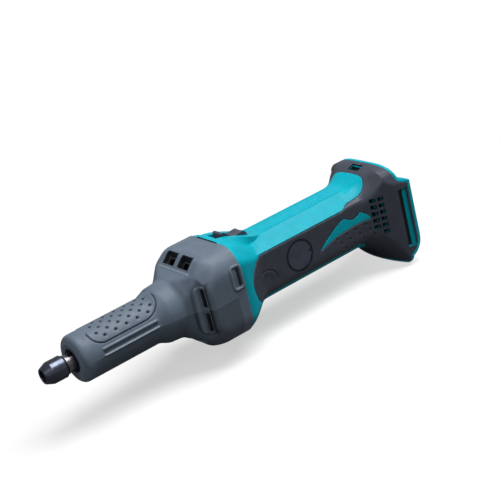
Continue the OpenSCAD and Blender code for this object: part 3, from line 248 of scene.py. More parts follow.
def straight_run(start: tuple[Array, Array], end: tuple[Array, Array], n: int) -> tuple[Array, Array]:
    """Columns on the straight lines from one column of a grid to another.

    Args:
        start: Y and z of the first column.
        end: Y and z of the last column.
        n: Number of steps.

    Returns:
        Y and z of the n columns after the first, rows by columns.
    """
    t = (np.arange(1, n + 1) / n)[None]
    y, z = (a[:, None] + (b - a)[:, None] * t for a, b in zip(start, end))
    return y, z


def with_edges(values: Sequence[float], edges: Sequence[float], gap: float = 0.04) -> Array:
    """Grid places with a close pair of lines at each edge.

    Args:
        values: Ordinary places of the grid.
        edges: Places where a wall stands.
        gap: Half the distance between the two lines of a pair.

    Returns:
        Sorted places; ordinary ones too near an edge are left out.
    """
    v = np.array(sorted(values), float)
    e = np.array(sorted(edges), float)
    if len(e):
        v = v[np.abs(v[:, None] - e[None]).min(axis=1) > 0.18]
    return np.sort(np.concatenate([v, e - gap, e + gap]))


def spread(*runs: tuple[float, float, float]) -> list[float]:
    """Places of several runs, each given as (start, end, greatest step), without repeats."""
    out: list[float] = []
    for a, b, step in runs:
        n = max(1, math.ceil((b - a) / step))
        out += [a + (b - a) * i / n for i in range(n)]
    return out + [runs[-1][1]]


# ---------------------------------------------------------------- meshes


@dataclass
class Sheet:
    """Grid of points with faces between them.

    Attributes:
        points: Array of (rows, columns, 3), in millimetres.
        closed: The last column joins the first.
        keep: Faces that stay, or None for all.
        painted_light: One value per point: above 0 for painted highlights on edges and ridges, below 0 for
            painted shade in grooves and openings.
        outward: Direction that the faces look, or None for away from the tool's axis.
    """

    points: Array
    closed: bool = False
    keep: Optional[Array] = None
    painted_light: Optional[Array] = None
    outward: Optional[Triple] = None

    def quads(self) -> Array:
        """Corner numbers of the faces, turned so that the faces look outwards."""
        rows, cols = self.points.shape[:2]
        number = np.arange(rows * cols).reshape(rows, cols)
        if self.closed:
            number = np.concatenate([number, number[:, :1]], axis=1)
        q = np.stack([number[:-1, :-1], number[:-1, 1:], number[1:, 1:], number[1:, :-1]], axis=-1)
        flat = self.points.reshape(-1, 3)
        a, b, c, d = (flat[q[..., i]] for i in range(4))
        normal = np.cross(c - a, d - b)
        if self.outward is None:
            middle = (a + b + c + d) / 4.0
            middle[..., 0] = 0.0
            away = (normal * middle).sum(axis=-1)
        else:
            away = (normal * np.array(self.outward)).sum(axis=-1)
        keep = np.ones(q.shape[:2], bool) if self.keep is None else self.keep
        if away[keep].sum() < 0:
            q = q[..., ::-1]
        return q[keep]


def shut_cells(mask: Array) -> Array:
    """Faces whose four corners all lie in mask."""
    return mask[:-1, :-1] & mask[1:, :-1] & mask[:-1, 1:] & mask[1:, 1:]


def face_x(x: Array) -> Array:
    """Places along the tool of the middles of a grid's faces."""
    return (x[:-1, :-1] + x[1:, 1:]) / 2


def make_object(name: str, sheets: Sequence[Sheet], finish: "Finish", body: Body,
                crease: float = 38.0) -> bpy.types.Object:
    """Puts sheets into one mesh object that rides on a body.

    Args:
        name: Name of the piece.
        sheets: Its surfaces.
        finish: Its finish.
        body: The body that it moves with.
        crease: Angle in degrees from which an edge is sharp.

    Returns:
        The object, at the origin.
    """
    points, quads, painted_light, start = [], [], [], 0
    for sheet in sheets:
        flat = sheet.points.reshape(-1, 3)
        q = sheet.quads()
        used, fresh = np.unique(q, return_inverse=True)
        points.append(flat[used])
        painted_light_values = np.zeros(len(flat)) if sheet.painted_light is None else sheet.painted_light.reshape(-1)
        painted_light.append(painted_light_values[used])
        quads.append(fresh.reshape(-1, 4) + start)
        start += len(used)
    co = np.concatenate(points) * MM
    q = np.concatenate(quads)
    mesh = bpy.data.meshes.new(name)
    mesh.vertices.add(len(co))
    mesh.vertices.foreach_set("co", co.astype(np.float32).ravel())
    mesh.loops.add(q.size)
    mesh.loops.foreach_set("vertex_index", q.astype(np.int32).ravel())
    mesh.polygons.add(len(q))
    mesh.polygons.foreach_set("loop_start", np.arange(0, q.size, 4, dtype=np.int32))
    mesh.update(calc_edges=True)
    mesh.validate()
    mesh.shade_smooth()
    mesh.set_sharp_from_angle(angle=math.radians(crease))
    # painted light values: painted highlights above 0, painted shade below 0, turned into colour by the finish
    layer = mesh.attributes.new("painted_light", "FLOAT", "POINT")
    layer.data.foreach_set("value", np.concatenate(painted_light).astype(np.float32))
    mesh.materials.append(finish.material())
    piece = bpy.data.objects.new(name, mesh)
    bpy.context.scene.collection.objects.link(piece)
    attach(piece, body.value)
    log.info("%s: %d faces", name, len(q))
    return piece


def inset(points: Array, d: float) -> Array:
    """Closed outline, counter-clockwise, with each edge moved inwards by d (mitred corners)."""
    u = points - np.roll(points, 1, axis=0)
    v = np.roll(points, -1, axis=0) - points
    m = np.stack([-u[:, 1], u[:, 0]], 1) / np.linalg.norm(u, axis=1)[:, None]
    k = np.stack([-v[:, 1], v[:, 0]], 1) / np.linalg.norm(v, axis=1)[:, None]
    return points + d * (m + k) / (1.0 + (m * k).sum(axis=1))[:, None]


def bevelled_bar(profile: Sequence[Pair], half: float, bevel: float) -> Sheet:
    """Outline in X and Z carried across Y, with closed ends.

    The outline is whole at both ends.  Over the first bevel of the width it moves inwards by as much along a
    straight slope, so the side edges stand proud of the rest.  The end rings shrink to the outline's middle.

    Args:
        profile: Outline, counter-clockwise, that can be seen whole from its middle.
        half: Half width across Y.
        bevel: How far the outline moves inwards.

    Returns:
        The surface.
    """
    p = np.array(profile, float)
    centre = (p.min(axis=0) + p.max(axis=0)) / 2.0
    rings = [(-half, centre + (inset(p, bevel) - centre) * t) for t in (0.02, 0.35, 0.7)]
    rings += [(d - half, inset(p, d)) for d in bevel * (1.0 - np.sin(np.radians(np.linspace(90, 0, 6))))]
    rings += [(-y, ring) for y, ring in reversed(rings)]
    return Sheet(np.stack([np.insert(ring, 1, y, axis=1) for y, ring in rings]), closed=True)


# ---------------------------------------------------------------- finishes


def srgb(red: int, green: int, blue: int) -> Colour:
    """Linear colour of a screen colour given in 0 to 255."""
    c = np.array([red, green, blue]) / 255.0
    linear = np.where(c <= 0.04045, c / 12.92, ((c + 0.055) / 1.055) ** 2.4)
    return (float(linear[0]), float(linear[1]), float(linear[2]))


def combined(tree: bpy.types.NodeTree, operation: str,
             *values: bpy.types.NodeSocket | float) -> bpy.types.NodeSocket:
    """Result of an arithmetic node on two values.

    Args:
        tree: Nodes that it is added to.
        operation: What it does with them.
        values: Sockets or plain numbers.

    Returns:
        The socket that gives the result.
    """
    node = tree.nodes.new("ShaderNodeMath")
    node.operation = operation
    for place, value in zip(node.inputs, values):
        if isinstance(value, float):
            place.default_value = value
        else:
            tree.links.new(value, place)
    return node.outputs[0]


class Graph:
    """Adds nodes to one material."""

    def __init__(self, name: str) -> None:
        """Makes the material with its shader."""
        self.material = bpy.data.materials.new(name)
        self.material.use_nodes = True
        self.tree = self.material.node_tree
        self.nodes = self.tree.nodes
        self.shader = self.nodes["Principled BSDF"]
        self.place = self.nodes.new("ShaderNodeTexCoord").outputs["Object"]

    def join(self, source: bpy.types.NodeSocket, target: bpy.types.NodeSocket) -> None:
        """Links two sockets."""
        self.tree.links.new(source, target)

    def noise(self, size_mm: float, detail: float = 3.0, rough: float = 0.55,
              stretch: Triple = (1.0, 1.0, 1.0)) -> bpy.types.NodeSocket:
        """Noise between 0 and 1 whose features are about size_mm wide, stretched by the given factors."""
        turn = self.nodes.new("ShaderNodeMapping")
        turn.inputs["Scale"].default_value = tuple(1.0 / s for s in stretch)
        self.join(self.place, turn.inputs["Vector"])
        node = self.nodes.new("ShaderNodeTexNoise")
        node.inputs["Scale"].default_value = 1000.0 / size_mm
        node.inputs["Detail"].default_value = detail
        node.inputs["Roughness"].default_value = rough
        self.join(turn.outputs["Vector"], node.inputs["Vector"])
        return node.outputs["Fac"]

    def attribute(self, name: str) -> bpy.types.NodeSocket:
        """Values kept on the mesh's points."""
        node = self.nodes.new("ShaderNodeAttribute")
        node.attribute_name = name
        return node.outputs["Fac"]

    def ramp(self, value: bpy.types.NodeSocket, low: float, high: float, a: Colour,
             b: Colour) -> bpy.types.NodeSocket:
        """Colour that goes from a to b as the value goes from low to high."""
        node = self.nodes.new("ShaderNodeValToRGB")
        node.color_ramp.elements[0].position = low
        node.color_ramp.elements[1].position = high
        node.color_ramp.elements[0].color = (*a, 1.0)
        node.color_ramp.elements[1].color = (*b, 1.0)
        self.join(value, node.inputs["Fac"])
        return node.outputs["Color"]

    def span(self, value: bpy.types.NodeSocket, a0: float, a1: float, b0: float,
             b1: float) -> bpy.types.NodeSocket:
        """Number that goes from b0 to b1 as the value goes from a0 to a1."""
        node = self.nodes.new("ShaderNodeMapRange")
        for label, number in zip(("From Min", "From Max", "To Min", "To Max"), (a0, a1, b0, b1)):
            node.inputs[label].default_value = number
        self.join(value, node.inputs["Value"])
        return node.outputs["Result"]

    def mix(self, amount: bpy.types.NodeSocket, a: bpy.types.NodeSocket, b: Colour) -> bpy.types.NodeSocket:
        """Colour a with as much of b over it as amount says."""
        node = self.nodes.new("ShaderNodeMix")
        node.data_type = "RGBA"
        self.join(amount, node.inputs["Factor"])
        self.join(a, node.inputs[MIX_A])
        node.inputs[MIX_B].default_value = (*b, 1.0)
        return node.outputs[MIX_RESULT]

    def bump(self, height: bpy.types.NodeSocket, depth_mm: float, strength: float,
             below: Optional[bpy.types.NodeSocket] = None) -> bpy.types.NodeSocket:
        """Normal of a surface with that height."""
        node = self.nodes.new("ShaderNodeBump")
        node.inputs["Distance"].default_value = depth_mm * MM
        node.inputs["Strength"].default_value = strength
        self.join(height, node.inputs["Height"])
        if below is not None:
            self.join(below, node.inputs["Normal"])
        return node.outputs["Normal"]


@dataclass(frozen=True)
class Finish:
    """A finish: its name and the slot of the record that it belongs to."""

    name: str
    slot: str

    def build(self, g: Graph) -> None:
        """Adds the finish's nodes."""
        raise NotImplementedError

    def material(self) -> bpy.types.Material:
        """The finish's material, made once; its name differs from those that come with the frame."""
        title = f"{self.name}_finish"
        found = bpy.data.materials.get(title)
        if found is not None:
            return found
        graph = Graph(title)
        self.build(graph)
        return graph.material


@dataclass(frozen=True)
class Moulded(Finish):
    """Moulded plastic or rubber: mottled colour, fine spark-eroded grain, painted highlights on edges and
    painted shade in grooves and openings.

    Attributes:
        base: Colour.
        shade: Colour of the darker patches.
        rough: Roughness in the middle of its range.
        grain_mm: Width of the grain.
        grain_depth_mm: Depth of the grain.
        painted_highlight: Colour of the painted highlights.
        shine: Specular level.
        deep: How light the darkest painted shade, in grooves and openings, is against the darker patches.
    """

    base: Colour = (0.1, 0.1, 0.1)
    shade: Colour = (0.08, 0.08, 0.08)
    rough: float = 0.5
    grain_mm: float = 0.5
    grain_depth_mm: float = 0.02
    painted_highlight: Colour = (0.2, 0.2, 0.2)
    shine: float = 0.25
    deep: float = 0.12

    def build(self, g: Graph) -> None:
        """Colour from two noises and the painted light values, roughness from a third, bump from the grain."""
        body = g.ramp(g.noise(9.0, 4.0), 0.35, 0.65, self.shade, self.base)
        painted_light = g.attribute("painted_light")
        patchy = g.noise(1.6, 3.0)
        # painted highlight: positive painted light values mix in the highlight colour, in noisy patches
        edge = combined(g.tree, "MULTIPLY", g.span(painted_light, 0.15, 1.0, 0.0, 0.75),
                        g.span(patchy, 0.3, 0.7, 0.45, 1.0))
        body = g.mix(edge, body, self.painted_highlight)
        # painted shade: negative painted light values darken the colour towards a deep shade
        painted_shade = tuple(self.deep * c for c in self.shade)
        body = g.mix(g.span(painted_light, -1.0, -0.1, 1.0, 0.0), body, painted_shade)
        g.join(body, g.shader.inputs["Base Color"])
        dull = g.span(g.noise(3.5, 3.0), 0.3, 0.7, self.rough - 0.06, self.rough + 0.06)
        g.join(dull, g.shader.inputs["Roughness"])
        g.shader.inputs["Specular IOR Level"].default_value = self.shine
        grain = g.bump(g.noise(self.grain_mm, 2.0), self.grain_depth_mm, 0.6)
        wave = g.bump(g.noise(14.0, 1.0), 0.12, 0.25, grain)
        g.join(wave, g.shader.inputs["Normal"])


@dataclass(frozen=True)
class Metal(Finish):
    """Metal: colour and roughness vary with fine tool marks.

    Attributes:
        base: Colour of the bright parts.
        shade: Colour of the dull parts.
        rough: Roughness in the middle of its range.
        mark_mm: Width of the marks.
        along: Factors that the marks are stretched by along X, Y and Z; large ones in Y and Z give turned
            rings.
        depth_mm: Depth of the marks.
        metallic: How metallic the surface is.
    """

    base: Colour = (0.6, 0.6, 0.6)
    shade: Colour = (0.4, 0.4, 0.4)
    rough: float = 0.3
    mark_mm: float = 0.25
    along: Triple = (1.0, 60.0, 60.0)
    depth_mm: float = 0.01
    metallic: float = 1.0

    def build(self, g: Graph) -> None:
        """Colour and bump from stretched noise, roughness from that and a cloudy noise."""
        marks = g.noise(self.mark_mm, 3.0, 0.6, self.along)
        cloud = g.noise(5.0, 4.0)
        g.join(g.ramp(cloud, 0.3, 0.7, self.shade, self.base), g.shader.inputs["Base Color"])
        g.join(g.span(marks, 0.3, 0.7, self.rough - 0.07, self.rough + 0.09), g.shader.inputs["Roughness"])
        g.shader.inputs["Metallic"].default_value = self.metallic
        g.join(g.bump(marks, self.depth_mm, 0.5), g.shader.inputs["Normal"])


BOOT_RUBBER = Moulded("boot_rubber", "rubber_boot", srgb(95, 108, 123), srgb(88, 101, 116), 0.5, 0.45, 0.02,
                      srgb(138, 150, 164), 0.3)
GRIP_RUBBER = Moulded("grip_rubber", "rubber_grip", srgb(63, 67, 79), srgb(56, 60, 71), 0.46, 0.45, 0.02,
                      srgb(118, 119, 132), 0.3)
TEAL_PLASTIC = Moulded("teal_plastic", "housing", srgb(0, 164, 183), srgb(0, 158, 177), 0.36, 0.3, 0.008,
                       srgb(86, 200, 212), 0.12)
BLACK_PLASTIC = Moulded("black_plastic", "black_plastic", srgb(68, 73, 88), srgb(60, 65, 79), 0.46, 0.35,
                        0.02, srgb(104, 106, 116), 0.3)
FAN_PLASTIC = Moulded("fan_plastic", "fan_plastic", srgb(38, 38, 40), srgb(30, 30, 32), 0.5, 0.4, 0.02,
                      srgb(70, 70, 74), 0.4)
CARD = Moulded("insulation_card", "insulation", srgb(170, 128, 84), srgb(150, 110, 70), 0.62, 0.3, 0.02,
               srgb(190, 150, 110), 0.3)
RED_WIRE = Moulded("red_wire", "wire_red", srgb(176, 26, 22), srgb(150, 20, 18), 0.45, 0.3, 0.01,
                   srgb(200, 60, 50))
BLACK_WIRE = Moulded("black_wire", "wire_black", srgb(30, 30, 32), srgb(24, 24, 26), 0.45, 0.3, 0.01,
                     srgb(60, 60, 62))
CARBON = Moulded("carbon", "carbon", srgb(34, 34, 36), srgb(26, 26, 28), 0.55, 0.2, 0.02,
                 srgb(60, 60, 62), 0.4)
MAGNET = Moulded("magnet", "magnet", srgb(62, 62, 66), srgb(52, 52, 55), 0.5, 0.3, 0.02,
                 srgb(90, 90, 94), 0.5)
NUT_STEEL = Metal("nut_steel", "nut_steel", srgb(88, 94, 107), srgb(70, 75, 86), 0.24, 0.22, depth_mm=0.005)
SPINDLE_STEEL = Metal("spindle_steel", "spindle_steel", srgb(136, 134, 138), srgb(108, 106, 110), 0.28, 0.25)
BEARING_STEEL = Metal("bearing_steel", "bearing_steel", srgb(196, 198, 202), srgb(170, 172, 178), 0.18, 0.2)
CAST_METAL = Metal("cast_metal", "cast_housing", srgb(176, 178, 182), srgb(140, 142, 146), 0.45, 0.8,
                   (1, 1, 1), 0.03)
CORE_STEEL = Metal("core_steel", "core_steel", srgb(128, 128, 132), srgb(104, 104, 108), 0.4, 0.5,
                   (1, 40, 40), 0.03)
ZINC_STEEL = Metal("zinc_steel", "zinc_steel", srgb(168, 166, 158), srgb(140, 138, 132), 0.32, 0.6,
                   (1, 1, 1), 0.01)
COPPER = Metal("copper", "copper", srgb(198, 120, 78), srgb(168, 96, 62), 0.3, 0.4, (1, 1, 1), 0.02)
BRASS = Metal("brass", "brass", srgb(196, 164, 92), srgb(166, 136, 72), 0.3, 0.4, (1, 1, 1), 0.01)
DARK_SCREW = Metal("dark_screw", "zinc_steel", srgb(70, 70, 74), srgb(52, 52, 56), 0.34, 0.4, (1, 1, 1), 0.01)


# ---------------------------------------------------------------- the front boot


@dataclass
class Relief:
    """What details add to a skin.

    Attributes:
        height: Heights in millimetres, one per point.
        painted_light: Painted light values, one per point: painted highlights above 0, painted shade below 0.
    """

    height: Array
    painted_light: Array

    def add(self, height: Array | float, painted_light: Array | float) -> None:
        """Adds a detail's heights and painted light."""
        self.height = self.height + height
        self.painted_light = self.painted_light + painted_light


@dataclass
class Pad:
    """Finger pad on top of the barrel: a raised strip with round ends, a groove round it, and dimples.

    Attributes (millimetres, degrees for turn):
        front, rear: Ends along the tool.
        half: Half width, along the arc from the top.
        corners: Corner radii in front and behind.
        rise, groove: Height of the strip and depth of the groove.
        rows, pitch, first: Number of the dimples' rows, their pitch, and how far the first is from the front.
        turn: A quarter of the angle between the dimples of a row.
        dimple_r, dimple: Radius and depth of a dimple.
    """

    front: float = 39.0
    rear: float = 101.5
    half: float = 20.5
    corners: Pair = (10.0, 16.0)
    rise: float = 0.3
    groove: float = 0.75
    rows: int = 11
    pitch: float = 5.0
    first: float = 6.4
    turn: float = 6.7
    dimple_r: float = 2.1
    dimple: float = 0.9

    def add_to(self, relief: Relief, barrel_r: float, x: Array, around: Array, on_top: Array) -> None:
        """Adds strip, groove and dimples.

        The strip rises where the distance inside a rectangle with round corners passes zero, and the groove
        is a hill turned down just outside it; the strip's edge gets a painted highlight and the groove painted
        shade.  A dimple is a round hill turned down, with painted shade on its upper side and a painted
        highlight on its lower edge.

        Args:
            relief: What the details are added to.
            barrel_r: Radius of the barrel.
            x: Places along the tool.
            around: Places along the arc from the top.
            on_top: Points of the barrel's upper side.
        """
        middle = (self.front + self.rear) / 2
        ahead = x < middle
        corner = np.where(ahead, *self.corners)
        edge = plate_distance(np.abs(x - middle) - (self.rear - self.front) / 2 + corner,
                              np.abs(around) - self.half + corner, corner)
        fade = np.where(ahead, ease((np.abs(around) - 5.0) / 4.0), ease((np.abs(around) - 1.0) / 5.0))
        groove = hill(edge + 0.55, 0.85) * fade
        # painted highlight along the strip's edge, painted shade in the groove round it
        relief.add(on_top * (self.rise * ease((edge + 0.25) / 0.7) - self.groove * groove),
                   on_top * (0.25 * hill(edge - 0.35, 0.6) - groove))
        pit = np.zeros_like(x)
        for row in range(self.rows):
            first = 1 if row % 2 == 0 else 3
            for place in range(-2, 2):
                across = around + barrel_r * math.radians(self.turn * (4 * place + first))
                along = x - self.front - self.first - self.pitch * row
                spot = np.hypot(along, across)
                pit = np.maximum(pit, on_top * hill(spot, self.dimple_r))
                # painted shade on each dimple's upper side, painted highlight on its lower edge
                painted_shade = np.clip(1.4 * hill(np.hypot(along, across - 0.45), 1.7), 0, 1)
                light = hill(spot - 1.8, 0.6) * ease(-across / 1.2)
                relief.add(0.0, on_top * (0.8 * light - 1.5 * painted_shade))
        relief.add(-self.dimple * pit, 0.0)


@dataclass
class Ribs:
    """Two ribs along each side of the barrel, with a valley between them.

    Attributes (millimetres):
        front, rear: Ends along the tool.
        upper_z, lower_z: Heights of the two ribs' middles.
        rise: Height of the ribs.
        valley: Lower and upper end of the valley.
        depth: Depth of the valley.
    """

    front: float = 42.0
    rear: float = 95.0
    upper_z: float = 5.9
    lower_z: float = 0.9
    rise: float = 0.85
    valley: Pair = (1.3, 5.0)
    depth: float = 0.4

    def add_to(self, relief: Relief, x: Array, side: Array, z: Array) -> None:
        """Adds both ribs as round hills with painted highlights on their upper sides, and the valley with soft
        walls and painted shade.
        """
        side = side * ease((x - self.front) / 2.0) * ease((self.rear - x) / 2.0)
        valley = ease((z - self.valley[0]) / 0.8) * ease((self.valley[1] - z) / 0.8)
        ribs = np.maximum(hill(z - self.upper_z, 1.5), hill(z - self.lower_z, 1.05))
        # painted highlights on the ribs' upper sides, painted shade in the valley
        painted_highlight = 0.45 * hill(z - self.upper_z - 0.6, 0.9) + 0.9 * hill(z - self.lower_z - 0.3, 0.8)
        relief.add(side * (self.rise * ribs - self.depth * valley), side * (painted_highlight - 0.55 * valley))


@dataclass
class Pocket:
    """Handle pocket near the boot's rear edge, deeper towards the rear, with a rim round it.

    Attributes (millimetres):
        front, rear, low, high: Ends along the tool and in height.
        corner: Corner radius.
        shallow, deepen: Depth in front, and what it gains to the rear.
        rim: Height of the rim.
    """

    front: float = 157.5
    rear: float = 165.6
    low: float = 7.0
    high: float = 24.5
    corner: float = 2.2
    shallow: float = 0.7
    deepen: float = 1.9
    rim: float = 0.75

    def add_to(self, relief: Relief, x: Array, z: Array, flat: Array) -> None:
        """Adds pocket and rim, by the distance inside a rectangle with round corners, with a painted highlight
        on the rim and painted shade inside the pocket and round the rim's outside.
        """
        length, height = self.rear - self.front, self.high - self.low
        qx = np.abs(x - (self.front + self.rear) / 2) - length / 2 + self.corner
        qz = np.abs(z - (self.low + self.high) / 2) - height / 2 + self.corner
        hole = self.corner - np.hypot(np.maximum(qx, 0), np.maximum(qz, 0))
        depth = self.shallow + self.deepen * np.clip((x - self.front) / length, 0, 1) ** 1.5
        # painted shade inside the pocket, behind its front edge
        painted_shade = ease(hole / 1.2) * ease((x - self.front - 4.0) / 1.5)
        relief.add(flat * (self.rim * hill(hole + 0.9, 1.6) - depth * ease(hole / 0.9)),
                   flat * (0.75 * hill(hole + 0.5, 0.9) - 0.9 * painted_shade - 0.5 * hill(hole + 2.4, 1.0)))


@dataclass
class FrontBoot:
    """Rubber-covered front part: slim barrel, flare, sloped shoulder with vents, and the square bulge.

    Attributes (millimetres):
        front, rear: Ends along the tool.
        mouth_r, barrel_r, nose_round: Mouth, barrel and the round of the nose.
        flare_x, neck_x, neck_r: Start and end of the flare, and its radius there.
        throat_x: Where the round front turns into the shoulder.
        shoulder_x, shoulder_half: Start of the steep slope and the half width there.
        half, corner: Half width of the bulge and its corner radius.
        bevel, top_bevel: Length of the slope at the sides and below, and on top.
        slot_y, slot_w, slot_gap, slot_h: Side slots: distance from the axis, width, gap and height.
        window_x, window_l, window_bar, window_w: Windows of the top vent, and the bar between them.
        frame: Distance from the slots' ends to the ends of the frame round them.
        side_rise, low_rise, top_rise: Heights of the frames.
        nub_x, nub_turn: Place of the small nub ahead of the pad, along the tool and along the arc.
        reach: How far the grid's straight runs go to either side.
        pad, ribs, pocket: The details.
    """

    front: float = 24.5
    rear: float = 167.0
    mouth_r: float = 10.0
    barrel_r: float = 19.85
    nose_round: float = 5.5
    flare_x: float = 94.0
    neck_x: float = 107.0
    neck_r: float = 23.9
    throat_x: float = 118.0
    shoulder_x: float = 130.0
    shoulder_half: float = 29.3
    half: float = 38.8
    corner: float = 22.0
    bevel: float = 6.0
    top_bevel: float = 14.0
    slot_y: float = 31.0
    slot_w: float = 4.0
    slot_gap: float = 5.0
    slot_h: float = 15.5
    window_x: float = 131.5
    window_l: float = 9.0
    window_bar: float = 5.0
    window_w: float = 15.0
    frame: float = 2.6
    side_rise: float = 0.9
    low_rise: float = 2.0
    top_rise: float = 0.35
    nub_x: float = 35.1
    nub_turn: float = -10.8
    reach: float = 26.0
    pad: Pad = field(default_factory=Pad)
    ribs: Ribs = field(default_factory=Ribs)
    pocket: Pocket = field(default_factory=Pocket)

    def __post_init__(self) -> None:
        """Prepares the curves along the tool, and the slots' and windows' ends."""
        self.side_line = smoothed_line(self.shoulder(self.bevel), 0.45)
        self.top_line = smoothed_line(self.shoulder(self.top_bevel), 0.6)
        self.limit_line = smoothed_line([(112.0, 24.6), (117.0, 24.9), (122.0, 29.2), (130.0, 38.5),
                                         (138.0, 43.0), (147.0, 46.6), (171.0, 55.0)], 1.2)
        self.square = section_radius(rounded_square(self.half, self.corner), 0.8)
        self.slot_ends = [self.slot_x(self.slot_y + s * self.slot_w / 2) for s in (-1, 1)]
        self.slot_span = (self.slot_gap / 2, self.slot_gap / 2 + self.slot_h)
        self.window_ends = (self.window_x, self.window_x + self.window_l)
        self.window_span = (self.window_bar / 2, self.window_bar / 2 + self.window_w)

    def shoulder(self, length: float) -> list[Pair]:
        """Half width along the tool, from the neck over a slope of the given length to the bulge."""
        return [(112.0, 24.3), (self.throat_x, self.neck_r + 0.9), (self.shoulder_x, self.shoulder_half),
                (self.shoulder_x + 0.6 * length, self.half - 1.5), (self.shoulder_x + length, self.half),
                (self.rear + 4.0, self.half)]

    def slot_x(self, y: float) -> float:
        """Place where the side slope is y wide."""
        steep = 0.6 * self.bevel
        return self.shoulder_x + (y - self.shoulder_half) * steep / (self.half - 1.5 - self.shoulder_half)

    def profile(self, x: Array) -> Array:
        """Radius of the round front: barrel, flare and neck."""
        flare = swept(x, self.flare_x, self.neck_x, self.barrel_r, self.neck_r)
        return flare + 0.9 * np.clip((x - self.neck_x) / 11.0, 0.0, 1.0)

    def radius(self, x: Array, a: Array) -> Array:
        """Radius at x in direction a.

        Ahead of the throat it is the round profile.  Behind, it is the least of the side width over the
        cosine, the top or bottom height over the sine, the round square and a limit that grows along the
        tool, with the creases softened.
        """
        c, s = np.abs(np.cos(a)) + 1e-9, np.sin(a)
        upper = np.where(s >= 0, self.top_line(x), self.side_line(x))
        box = soft_min(self.side_line(x) / c, upper / (np.abs(s) + 1e-9), 2.0)
        box = soft_min(box, self.limit_line(x) + 0.6, 2.4)
        box = soft_min(box, self.square(a) + 0.35, 1.4)
        blend = ease((x - self.throat_x + 5.0) / 8.0)
        return self.profile(x) * (1.0 - blend) + box * blend

    def rows(self) -> tuple[Array, Array]:
        """Places of the grid's rows: x and, for the mouth and nose, the radius (0 further back)."""
        f, m, n = self.front, self.mouth_r, self.nose_round
        a = np.radians(np.linspace(0, 90, 13))
        front = [(f + 6.0, m), (f + 1.0, m), (f + 0.4, m + 0.08), (f + 0.12, m + 0.3), (f, m + 0.7),
                 (f, 12.6)]
        front += list(zip(f + n - n * np.cos(a), self.barrel_r - n + n * np.sin(a)))
        runs = ((30.4, 104.0, 0.55), (104.0, 118.0, 0.8), (118.0, 129.0, 0.55), (129.0, 137.0, 0.24),
                (137.0, 157.0, 0.8), (157.0, 166.2, 0.4))
        along = with_edges(spread(*runs), [*self.slot_ends, *self.window_ends])
        x, r = np.array(front).T
        return np.concatenate([x, along]), np.concatenate([r, np.zeros(len(along))])

    def directions(self, x: Array) -> Array:
        """Directions of the grid's points, rows by columns.

        The columns follow lines of constant z on the two sides and of constant y on top and below; across the
        corners they are spread evenly.  Ahead of the shoulder the lines draw together with the width.
        """
        slots, windows = ([-b, -a, a, b] for a, b in (self.slot_span, self.window_span))
        z, y_top, y_low = (with_edges(spread((-self.reach, self.reach, step)), edges)[None]
                           for step, edges in ((0.74, slots), (0.74, windows), (1.0, slots)))
        x = x[:, None]
        w, h = (np.where(x < self.throat_x, self.profile(x), line(x))
                for line in (self.side_line, self.top_line))
        s = np.minimum(w / self.shoulder_half, 1.0)
        t = (np.arange(1, 15) / 15.0)[None]
        right, upper = (w + 0 * z, z * s), (-y_top * s, h + 0 * y_top)
        left, lower = (-w + 0 * z, -z * s), (y_low * s, -w + 0 * y_low)
        parts = []
        for first, second in ((right, upper), (upper, left), (left, lower), (lower, right)):
            start, end = [v[:, -1:] for v in first], [v[:, :1] for v in second]
            parts += [first, [a + (b - a) * t for a, b in zip(start, end)]]
        ry, rz = (np.concatenate([part[i] for part in parts], axis=1) for i in (0, 1))
        return np.arctan2(rz, ry)

    def small_details(self, relief: Relief, x: Array, y: Array, z: Array, around: Array,
                      on_top: Array) -> None:
        """Adds the nub ahead of the pad and the parting line, with painted highlights on both and on the
        nose's ring, and painted shade round the nub, on the half below the parting line and outside the nose's
        ring.
        """
        # painted highlight on the nub and a ring of painted shade round it
        nub = hill(np.hypot(x - self.nub_x, around - self.nub_turn), 1.1)
        ring = hill(np.hypot(x - self.nub_x, around - self.nub_turn - 0.8) - 1.5, 0.6)
        relief.add(0.45 * nub * on_top, (1.3 * nub - 0.6 * ring) * on_top)
        # painted highlight along the raised parting line
        parting = hill(z - 0.6, 0.45) * (np.abs(y) > 8) * ease((x - 26.0) / 3.0)
        # painted shade over the barrel's lower half
        below = ease((0.2 - z) / 0.5) * ease((x - 27.0) / 14.0) * (x < 158)
        relief.add(0.16 * parting * (x < 157), 0.6 * parting - 0.4 * below)
        # painted highlight ring on the nose's round, fainter painted shade ring outside it, on the upper part
        lip = np.hypot(y, z)
        nose = (x < self.front + 4.5) * ease((z + 9.0) / 12.0)
        relief.add(0.0, nose * (1.1 * hill(lip - 14.9, 2.0) - 0.3 * hill(lip - 18.2, 1.5)))

    def vent_frames(self, relief: Relief, x: Array, y: Array, z: Array) -> None:
        """Adds the frames round the side, lower and top vents, and the valleys along the shoulder, with
        painted highlights on the frames' rims and painted shade just outside them and in the valleys.
        """
        end, round_ = self.slot_span[1] + self.frame, 3.0
        for out, up, rise, reach in ((np.abs(y), np.abs(z), self.side_rise, 3.4),
                                     (-z, np.abs(y), self.low_rise, 3.8)):
            middle = (2.0 * self.slot_y - reach + 3.2) / 2.0
            across = np.abs(out - middle) - (reach + 3.2) / 2.0
            edge = plate_distance(across + round_, up - end + round_, round_)
            side = out > 24.0
            ahead = (x < self.shoulder_x + self.bevel + 1.6) & side & (x > self.throat_x)
            valley = hill(out - self.slot_y - 4.6, 1.9) * ease((end + 2.5 - up) / 3.0) * (side & (x < 142.0))
